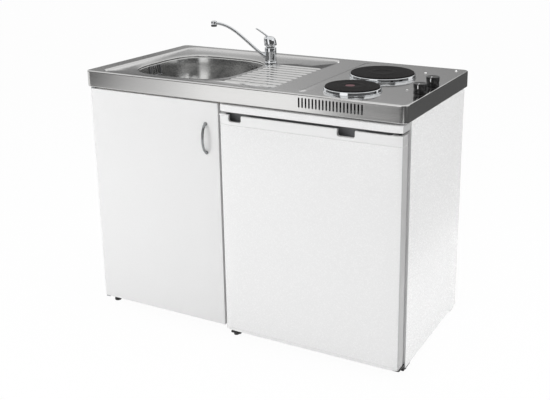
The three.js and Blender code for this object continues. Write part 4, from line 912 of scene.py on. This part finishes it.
banded_board("door_board", "cabinet_door", melamine, "cabinet_door", "white_board")
banded_board("side_board", "cabinet_side", melamine, "unit", "white_board")
handle_low, handle_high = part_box("door_handle")
handle_x = (handle_low.x + handle_high.x) / 2
door_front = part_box("cabinet_door")[0].y
bow_z = (handle_low.z + handle_high.z) / 2
half_span = 0.049
BOW_OUT, BOW_STEPS, BOW_FULL = 0.0282, 40, 0.78
bow = []
for step in range(BOW_STEPS + 1):
    t = step / BOW_STEPS
    reach = 0.002 * ((1 - t) ** 3 + t ** 3) + BOW_OUT * 3 * t * (1 - t)
    rise = half_span * (-(1 - t) ** 3 - BOW_FULL * 3 * t * (1 - t) ** 2 + BOW_FULL * 3 * t * t * (1 - t)
                        + t ** 3)
    bow.append((handle_x, door_front - reach, bow_z + rise))
bow_radii = [0.0042 - 0.0006 * math.sin(math.pi * i / BOW_STEPS) for i in range(BOW_STEPS + 1)]
feet = []
for side in (-1, 1):
    points, faces = lathe([(0, 0.0003), (0.0065, 0.0003), (0.0065, 0.0020), (0.0058, 0.0030), (0, 0.0032)],
                          segments=36)
    foot_z = bow_z + side * half_span
    feet.append(([(handle_x + x, door_front - z, foot_z + y) for x, y, z in points], faces))
handle = join(tube(bow, bow_radii, 20, (1.25, 0.9)), *feet)
add_piece("bow_handle", *handle, bow_chrome, "cabinet_door", ["door_handle"], "chrome")

# %% [markdown]
# ## The refrigerator door
# The steel door skin is crowned: its front falls back a little towards each side. Its upright edges are a
# grey profile, and the same grey is painted on the last curved strip of the crowned front as painted shade.
# Above it, past a fine joint, sits the moulded cap with the grip, a channel behind a lip with two notches
# where fingers reach over it. A plan with long curved ends, raised into slabs with rounded edges, gives skin,
# cap and skirt one shape, as their moulds have, and booleans cut the grip.

# %% Slabs with a crowned front
door_low, door_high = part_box("fridge_door")
cap_low, cap_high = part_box("fridge_door_cap")
CAP_TOP = 0.798


def crowned_front(left, right, front, back, run=0.065, fall=0.009, steps=12):
    """A front face that curves back over a long run at each side, as a pressed door skin does."""
    return (arc((right - run, front + fall), -90, 90, steps, run, fall) + [(right, back), (left, back)]
            + arc((left + run, front + fall), 180, 90, steps, run, fall))


def door_plan(inset):
    return crowned_front(door_low.x + inset, door_high.x - inset, door_low.y + inset,
                         door_high.y - inset * 0.3)


def rounded_slab(plan_of, low, high, bevel):
    """A slab whose top and bottom edges are rounded over."""
    steps = [(bevel * (1 - math.sin(math.radians(a))), bevel * (1 - math.cos(math.radians(a))))
             for a in (0, 30, 60, 90)]
    rings = [[(x, y, low + rise) for x, y in plan_of(inset)] for inset, rise in steps]
    rings += [[(x, y, high - rise) for x, y in plan_of(inset)] for inset, rise in steps[::-1]]
    return skin(rings)


def paint_profile_and_edge_shade(piece):
    """Faces that turn well to the side get the grey: the grey profile on the upright edges, and painted shade
    on the last curved strip of a crowned front.
    """
    piece.data.materials.append(profile_and_edge_shade_grey)
    for face in piece.data.polygons:
        if abs(face.normal.x) > 0.5:
            face.material_index = 1


# %% Door skin, skirt and cap
SKIRT_TOP = door_low.z + 0.010
for name, low, high, bevel, material, stands_for, slot in (
        ("door_skin", SKIRT_TOP, door_high.z, 0.0012, enamel, ["fridge_door"], "white_enamel"),
        ("door_skirt", door_low.z, SKIRT_TOP - 0.0003, 0.001, white_plastic, (), "white_plastic")):
    slab = rounded_slab(door_plan, low, high, bevel)
    paint_profile_and_edge_shade(add_piece(name, *slab, material, "fridge_door", stands_for, slot))
door_cap = add_piece("door_cap", *rounded_slab(door_plan, cap_low.z, CAP_TOP, 0.0015), white_plastic,
                     "fridge_door", ["fridge_door_cap"], "white_plastic")
CHANNEL_LEFT, CHANNEL_RIGHT, CHANNEL_LOW = cap_low.x + 0.020, 0.554, 0.773
channel_front, channel_back = cap_low.y + 0.009, cap_low.y + 0.033
channel = prism(rounded_rectangle(CHANNEL_LEFT, CHANNEL_RIGHT, channel_front, channel_back, 0.006),
                CHANNEL_LOW, 0.82)


def notch(left, right, low, radius, taper):
    """A finger notch, wider at its mouth than behind."""
    outline = rounded_rectangle(left, right, low, CAP_TOP + 0.03, radius, 8)
    middle = (left + right) / 2
    mouth = [(middle + (x - middle) * (1 + taper), cap_low.y - 0.004, z - taper * 0.02) for x, z in outline]
    return skin([mouth, [(x, channel_front + 0.004, z) for x, z in outline]])


cut_away(door_cap, [channel, notch(-0.006, 0.041, 0.776, 0.008, 0.0), notch(0.382, 0.438, 0.777, 0.008, 0.1)],
         overlapping=True)
paint_profile_and_edge_shade(door_cap)
# the grip channel's inside is painted mid grey: painted shade for the deep channel under the table top
door_cap.data.materials.append(grey_plastic_and_grip_shade)
NEAR = 0.0005  # faces of the channel are told by their middles, this much beyond its walls
for face in door_cap.data.polygons:
    x, y, z = face.center
    if (CHANNEL_LEFT - NEAR < x < CHANNEL_RIGHT + NEAR and channel_front - NEAR < y < channel_back + NEAR
            and CHANNEL_LOW - NEAR < z < CAP_TOP - 0.001):
        face.material_index = 2


def post_plan(inset):
    return rounded_rectangle(cap_low.x + inset, CHANNEL_LEFT - inset, cap_low.y + inset, cap_high.y - inset,
                             0.006)


add_piece("cap_post", *rounded_slab(post_plan, CAP_TOP - 0.004, CAP_TOP + 0.0015, 0.0005), white_plastic,
          "fridge_door", (), "white_plastic")

# %% [markdown]
# ## The refrigerator's table top
# Under the worktop's fascia a white slab closes the refrigerator. It is crowned like the door, has the same
# grey profile at its ends and the same painted shade on the last curved strip of its front.
# Its top lies 4.5 mm below the fascia, and this gap is the fine dark line in the photograph. A bevelled box
# would miss the crown, so the door's plan serves here too, with a tongue that runs back between the side
# walls.

# %% Table top
table_low, table_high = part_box("fridge_top")
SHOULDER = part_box("fridge_cabinet")[0].y - 0.0003
TONGUE_IN = 0.0003
TABLE_GAP = 0.0045  # the dark line below the fascia


def table_plan(inset):
    """The table top lies between the refrigerator's side walls and widens in front of them."""
    outline = crowned_front(table_low.x + inset, table_high.x - inset, table_low.y + inset, SHOULDER)
    half = len(outline) // 2
    tongue = [(table_high.x - TONGUE_IN, SHOULDER), (table_high.x - TONGUE_IN, table_high.y),
              (table_low.x + TONGUE_IN, table_high.y), (table_low.x + TONGUE_IN, SHOULDER)]
    return outline[:half] + tongue + outline[half:]


table = rounded_slab(table_plan, table_low.z, table_high.z - TABLE_GAP, 0.002)
paint_profile_and_edge_shade(add_piece("table_board", *table, enamel, "unit", ["fridge_top"], "white_enamel"))

# %% [markdown]
# ## The gasket
# A soft vinyl frame with a magnet inside fills the gap between door and refrigerator, and its wider lip
# shows as the dark upright line on the unit's right side. It stays the same whatever the door does, so two
# plain frames, one wide and one narrow, are enough, and no soft simulation is needed.

# %% Gasket
low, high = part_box("fridge_gasket")
LIP = 0.0115  # how far back the wide lip reaches


def frame_of(left, right, low, high, thick, front, back):
    """A flat frame, upright, made of an outer and an inner rectangle."""
    outer = [(left, low), (right, low), (right, high), (left, high)]
    inner = [(left + thick, low + thick), (right - thick, low + thick), (right - thick, high - thick),
             (left + thick, high - thick)]
    rings = [[(x, front, z) for x, z in outer], [(x, back, z) for x, z in outer],
             [(x, back, z) for x, z in inner], [(x, front, z) for x, z in inner]]
    return skin(rings, closed="both", caps=False)


gasket = join(frame_of(low.x, high.x, low.z, high.z, 0.014, low.y, high.y),
              frame_of(low.x - 0.008, high.x + 0.011, low.z - 0.004, high.z, 0.012, low.y, low.y + LIP))
add_piece("gasket_frame", *gasket, vinyl, "fridge_door", ["fridge_gasket"], "gasket_rubber")

# %% [markdown]
# ## Feet
# The cabinet stands on four small levelling feet, round black discs on a stem. The refrigerator's left
# front foot is screwed into a flat step that reaches forward under the door, which the photograph shows as
# a dark line and a stub. Cylinders would do at this size, but profiles turned on the lathe helper and one
# thin slab give them their outline against the floor.

# %% Feet
for place in ("left_front", "left_rear", "right_front", "right_rear"):
    low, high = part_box(f"foot_{place}")
    foot = lathe([(0, 0), (0.0115, 0), (0.0125, 0.0015), (0.0125, 0.006), (0.011, 0.009), (0.0085, 0.012),
                  (0.008, high.z - low.z), (0, high.z - low.z)],
                 (low.x + 0.014, (low.y + high.y) / 2 + 0.004, low.z), 40)
    add_piece(f"levelling_foot_{place}", *foot, black_plastic, "unit", [f"foot_{place}"], "black_plastic")
low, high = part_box("fridge_foot_left")
STEP_FRONT = -0.276  # the step that the foot is screwed into reaches forward under the door
foot = lathe([(0, 0), (0.0085, 0), (0.0095, 0.001), (0.0095, 0.0085), (0.008, 0.0095), (0, 0.0095)],
             (low.x + 0.018, STEP_FRONT + 0.0125, 0), 40)
step = prism(rounded_rectangle(low.x + 0.002, low.x + 0.040, STEP_FRONT, high.y, 0.004), 0.0095, high.z)
add_piece("fridge_levelling_foot", *join(foot, step), black_plastic, "unit", ["fridge_foot_left"],
          "black_plastic")

# %% [markdown]
# ## The refrigerator's lower hinge
# A bent steel bracket: its flange is screwed under the refrigerator, it rises in front of it, and its shelf
# carries the door's pin. A Solidify modifier could bend it from one strip, but three plain slabs and the
# pin show the same, and only the shelf's black end is in sight below the door's corner.

# %% Lower hinge
low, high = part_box("fridge_hinge_lower")
HINGE_TOP, HINGE_SHEET, HINGE_BEND = 0.031, 0.005, -0.2415
pin_place = (low.x + 0.014, low.y + 0.013)
hinge_left, hinge_face = low.x + 0.004, HINGE_BEND - HINGE_SHEET
shelf = prism(rounded_rectangle(hinge_left, high.x, low.y + 0.003, HINGE_BEND, 0.006),
              HINGE_TOP - HINGE_SHEET, HINGE_TOP)
upright = prism(rounded_rectangle(hinge_left, high.x, hinge_face, HINGE_BEND, 0.001), low.z, HINGE_TOP)
flange = prism(rounded_rectangle(hinge_left, high.x, hinge_face, high.y, 0.001), low.z,
               low.z + HINGE_SHEET)
pin = prism(circle(pin_place, 0.0039, 32), HINGE_TOP - HINGE_SHEET, high.z)
add_piece("fridge_hinge_bracket", *join(shelf, upright, flange, pin), black_paint, "unit",
          ["fridge_hinge_lower"], "black_steel")

# %% [markdown]
# ## Background
# A product shot on white. A white wall and a white environment picture would both do; a plain world needs
# neither. It is white to the camera, to metal and through glass, and dimmer as a light, so that the white
# doors keep their tone and don't clip.

# %% World
def seen_by(tree, *rays):
    """1 for these kinds of ray and 0 for all others."""
    path = add_node(tree, "ShaderNodeLightPath")
    value = path.outputs[rays[0]]
    for ray in rays[1:]:
        either = add_node(tree, "ShaderNodeMath", {0: value, 1: path.outputs[ray]}, operation="MAXIMUM")
        value = either.outputs[0]
    return value


AIR_LIGHT = 0.57
world = bpy.data.worlds.new("studio")
bpy.context.scene.world = world
world.use_nodes = True
air = world.node_tree
air.nodes.clear()
seen = seen_by(air, "Is Camera Ray", "Is Glossy Ray", "Is Transmission Ray")
dim = add_node(air, "ShaderNodeBackground", {"Color": (1, 1, 1, 1), "Strength": AIR_LIGHT})
white = add_node(air, "ShaderNodeBackground", {"Color": (1, 1, 1, 1), "Strength": 1.0})
both = add_node(air, "ShaderNodeMixShader", {0: seen, 1: dim.outputs[0], 2: white.outputs[0]})
add_node(air, "ShaderNodeOutputWorld", {"Surface": both.outputs[0]})
print("air light:", AIR_LIGHT)

# %% [markdown]
# ## Floor
# White paper. A plain white diffuse floor would come out grey away from the lamps, so to the camera and to
# metal it is mostly white by itself, and the small matt share still takes the object's faint shadow.

# %% Floor
def flat(name, corners, material):
    """A four-cornered face that belongs to the studio."""
    mesh = bpy.data.meshes.new(name)
    mesh.from_pydata(corners, [], [(0, 1, 2, 3)])
    mesh.materials.append(material)
    panel = put(name, mesh)
    return panel


GLOW_SHARE, FLOOR_HALF = 0.96, 14
floor_material = bpy.data.materials.new("studio_floor")
floor_material.use_nodes = True
ground = floor_material.node_tree
matt = ground.nodes["Principled BSDF"]
matt.inputs["Base Color"].default_value = colour("#fafafa")
matt.inputs["Roughness"].default_value = 0.9
glow = add_node(ground, "ShaderNodeEmission", {"Color": (1, 1, 1, 1), "Strength": 1.0})
seen = seen_by(ground, "Is Camera Ray", "Is Glossy Ray")
share = add_node(ground, "ShaderNodeMath", {0: seen, 1: GLOW_SHARE}, operation="MULTIPLY")
mixed = add_node(ground, "ShaderNodeMixShader",
                 {0: share.outputs[0], 1: matt.outputs[0], 2: glow.outputs[0]})
ground.links.new(mixed.outputs[0], ground.nodes["Material Output"].inputs["Surface"])
flat("studio_floor", [(x * FLOOR_HALF, y * FLOOR_HALF, 0) for x, y in ((-1, -1), (1, -1), (1, 1), (-1, 1))],
     floor_material)
print("floor:", 2 * FLOOR_HALF, "m wide")

# %% [markdown]
# ## Lamps
# A soft even light: one large lamp from the front left fills the doors, one from the right lights the side
# wall, and a weak one hangs overhead. Small hard lamps would print edges and hot spots on the white faces.
# Metal doesn't mirror the lamps, because the cards below stand in for what it sees.

# %% Lamps
for name, place, aim, size, power in (
        ("front_left_softbox", (-2.2, -3.0, 1.9), (-0.1, -0.2, 0.5), (1.6, 2.0), 50),
        ("right_softbox", (3.6, 0.2, 1.8), (0.5, 0.0, 0.5), (2.0, 2.0), 37),
        ("overhead_softbox", (0.2, 0.4, 3.2), (0.0, 0.0, 0.9), (2.2, 1.4), 24)):
    lamp_data = bpy.data.lights.new(name, "AREA")
    lamp_data.shape = "RECTANGLE"
    lamp_data.size, lamp_data.size_y = size
    lamp_data.energy = power
    lamp = put(name, lamp_data)
    lamp.location = place
    lamp.rotation_euler = (Vector(aim) - Vector(place)).to_track_quat("-Z", "Y").to_euler()
    lamp.visible_glossy = False
    print(name, power, "W")

# %% [markdown]
# ## Cards for the metal to mirror
# Bright metal shows what stands round it. A photographer puts up grey, black and white cards just outside
# the picture, and so does this studio; an environment picture could do it, but cards can be set one by one.
# Only mirrored light sees these: they light nothing else and cast no shadow.

# %% Cards
BRIGHTEST = 1.5


def card(name, corners, tones):
    """A flat card. tones lists places along its first edge, from 0 to 1, with the brightness there."""
    material = bpy.data.materials.new(name)
    material.use_nodes = True
    tree = material.node_tree
    tree.nodes.remove(tree.nodes["Principled BSDF"])
    place = add_node(tree, "ShaderNodeTexCoord").outputs["UV"]
    along = add_node(tree, "ShaderNodeSeparateXYZ", {"Vector": place})
    ramp = add_node(tree, "ShaderNodeValToRGB", {"Fac": along.outputs["X"]})
    steps = ramp.color_ramp.elements
    while len(steps) < len(tones):
        steps.new(0.5)
    for step, (at, _) in zip(steps, tones):
        step.position = at
    for step, (_, tone) in zip(steps, tones):
        step.color = (tone / BRIGHTEST, tone / BRIGHTEST, tone / BRIGHTEST, 1)
    glow = add_node(tree, "ShaderNodeEmission", {"Color": ramp.outputs["Color"], "Strength": BRIGHTEST})
    tree.links.new(glow.outputs["Emission"], tree.nodes["Material Output"].inputs["Surface"])
    board = flat(name, corners, material)
    layer = board.data.uv_layers.new(name="card")
    for corner, uv in zip(layer.data, ((0, 0), (1, 0), (1, 1), (0, 1))):
        corner.uv = uv
    for kind in ("camera", "diffuse", "shadow", "transmission"):
        setattr(board, f"visible_{kind}", False)


def upright_card(name, start, end, low, high, tones):
    (x0, y0), (x1, y1) = start, end
    card(name, [(x0, y0, low), (x1, y1, low), (x1, y1, high), (x0, y0, high)], tones)


FRONT = ((-4.2, -3.0), (2.8, -3.0))
RIGHT = ((2.8, -3.0), (2.8, 1.5))
LEFT = ((-4.2, 0.7), (-4.2, -3.0))
BACK = ((-5.0, 3.0), (2.4, 3.0))
upright_card("front_card", *FRONT, 0.01, 0.3,
             [(0.0, 0.1), (0.165, 0.15), (0.184, 0.33), (0.206, 0.58), (0.228, 0.73), (0.25, 0.82),
              (0.272, 0.97), (0.294, 1.16), (0.32, 1.36), (0.427, 1.4), (0.449, 1.0), (0.472, 0.52),
              (0.494, 0.38), (0.52, 0.38), (0.54, 0.15), (1.0, 0.1)])
upright_card("front_flag", *FRONT, 0.3, 2.8,
             [(0.0, 0.1), (0.46, 0.1), (0.475, 1.3), (0.69, 1.3), (0.705, 0.1), (1.0, 0.1)])
for name, low, high, tones in (
        ("low", 0.01, 0.42, [(0.0, 0.12), (1.0, 0.12)]),
        ("middle", 0.42, 0.85, [(0.0, 0.1), (0.5, 0.1), (0.56, 1.1), (0.8, 1.1), (1.0, 0.5)]),
        ("upper", 0.85, 1.7, [(0.0, 0.1), (1.0, 0.1)]),
        ("high", 1.7, 2.8, [(0.0, 0.1), (0.45, 0.1), (0.5, 1.2), (1.0, 1.2)])):
    upright_card(f"right_{name}_card", *RIGHT, low, high, tones)
upright_card("left_card", *LEFT, 0.3, 1.5, [(0.0, 0.1), (1.0, 0.1)])
upright_card("back_low_card", *BACK, 0.02, 1.3, [(0.0, 0.1), (1.0, 0.12)])
upright_card("back_card", *BACK, 1.3, 1.88,
             [(0.0, 0.25), (0.28, 0.25), (0.38, 0.5), (0.5, 0.42), (0.65, 0.34), (0.75, 0.2), (0.8, 0.1),
              (1.0, 0.1)])
card("right_floor_card", [(0.9, 0.3, 0.01), (7.0, 0.3, 0.01), (7.0, 11.0, 0.01), (0.9, 11.0, 0.01)],
     [(0.0, 0.13), (1.0, 0.13)])

# %% [markdown]
# ## Hand over
# Another view transform could compress the whites, but the plain one keeps the tones as they are written.

# %% Finish
bpy.context.scene.view_settings.view_transform = "Standard"
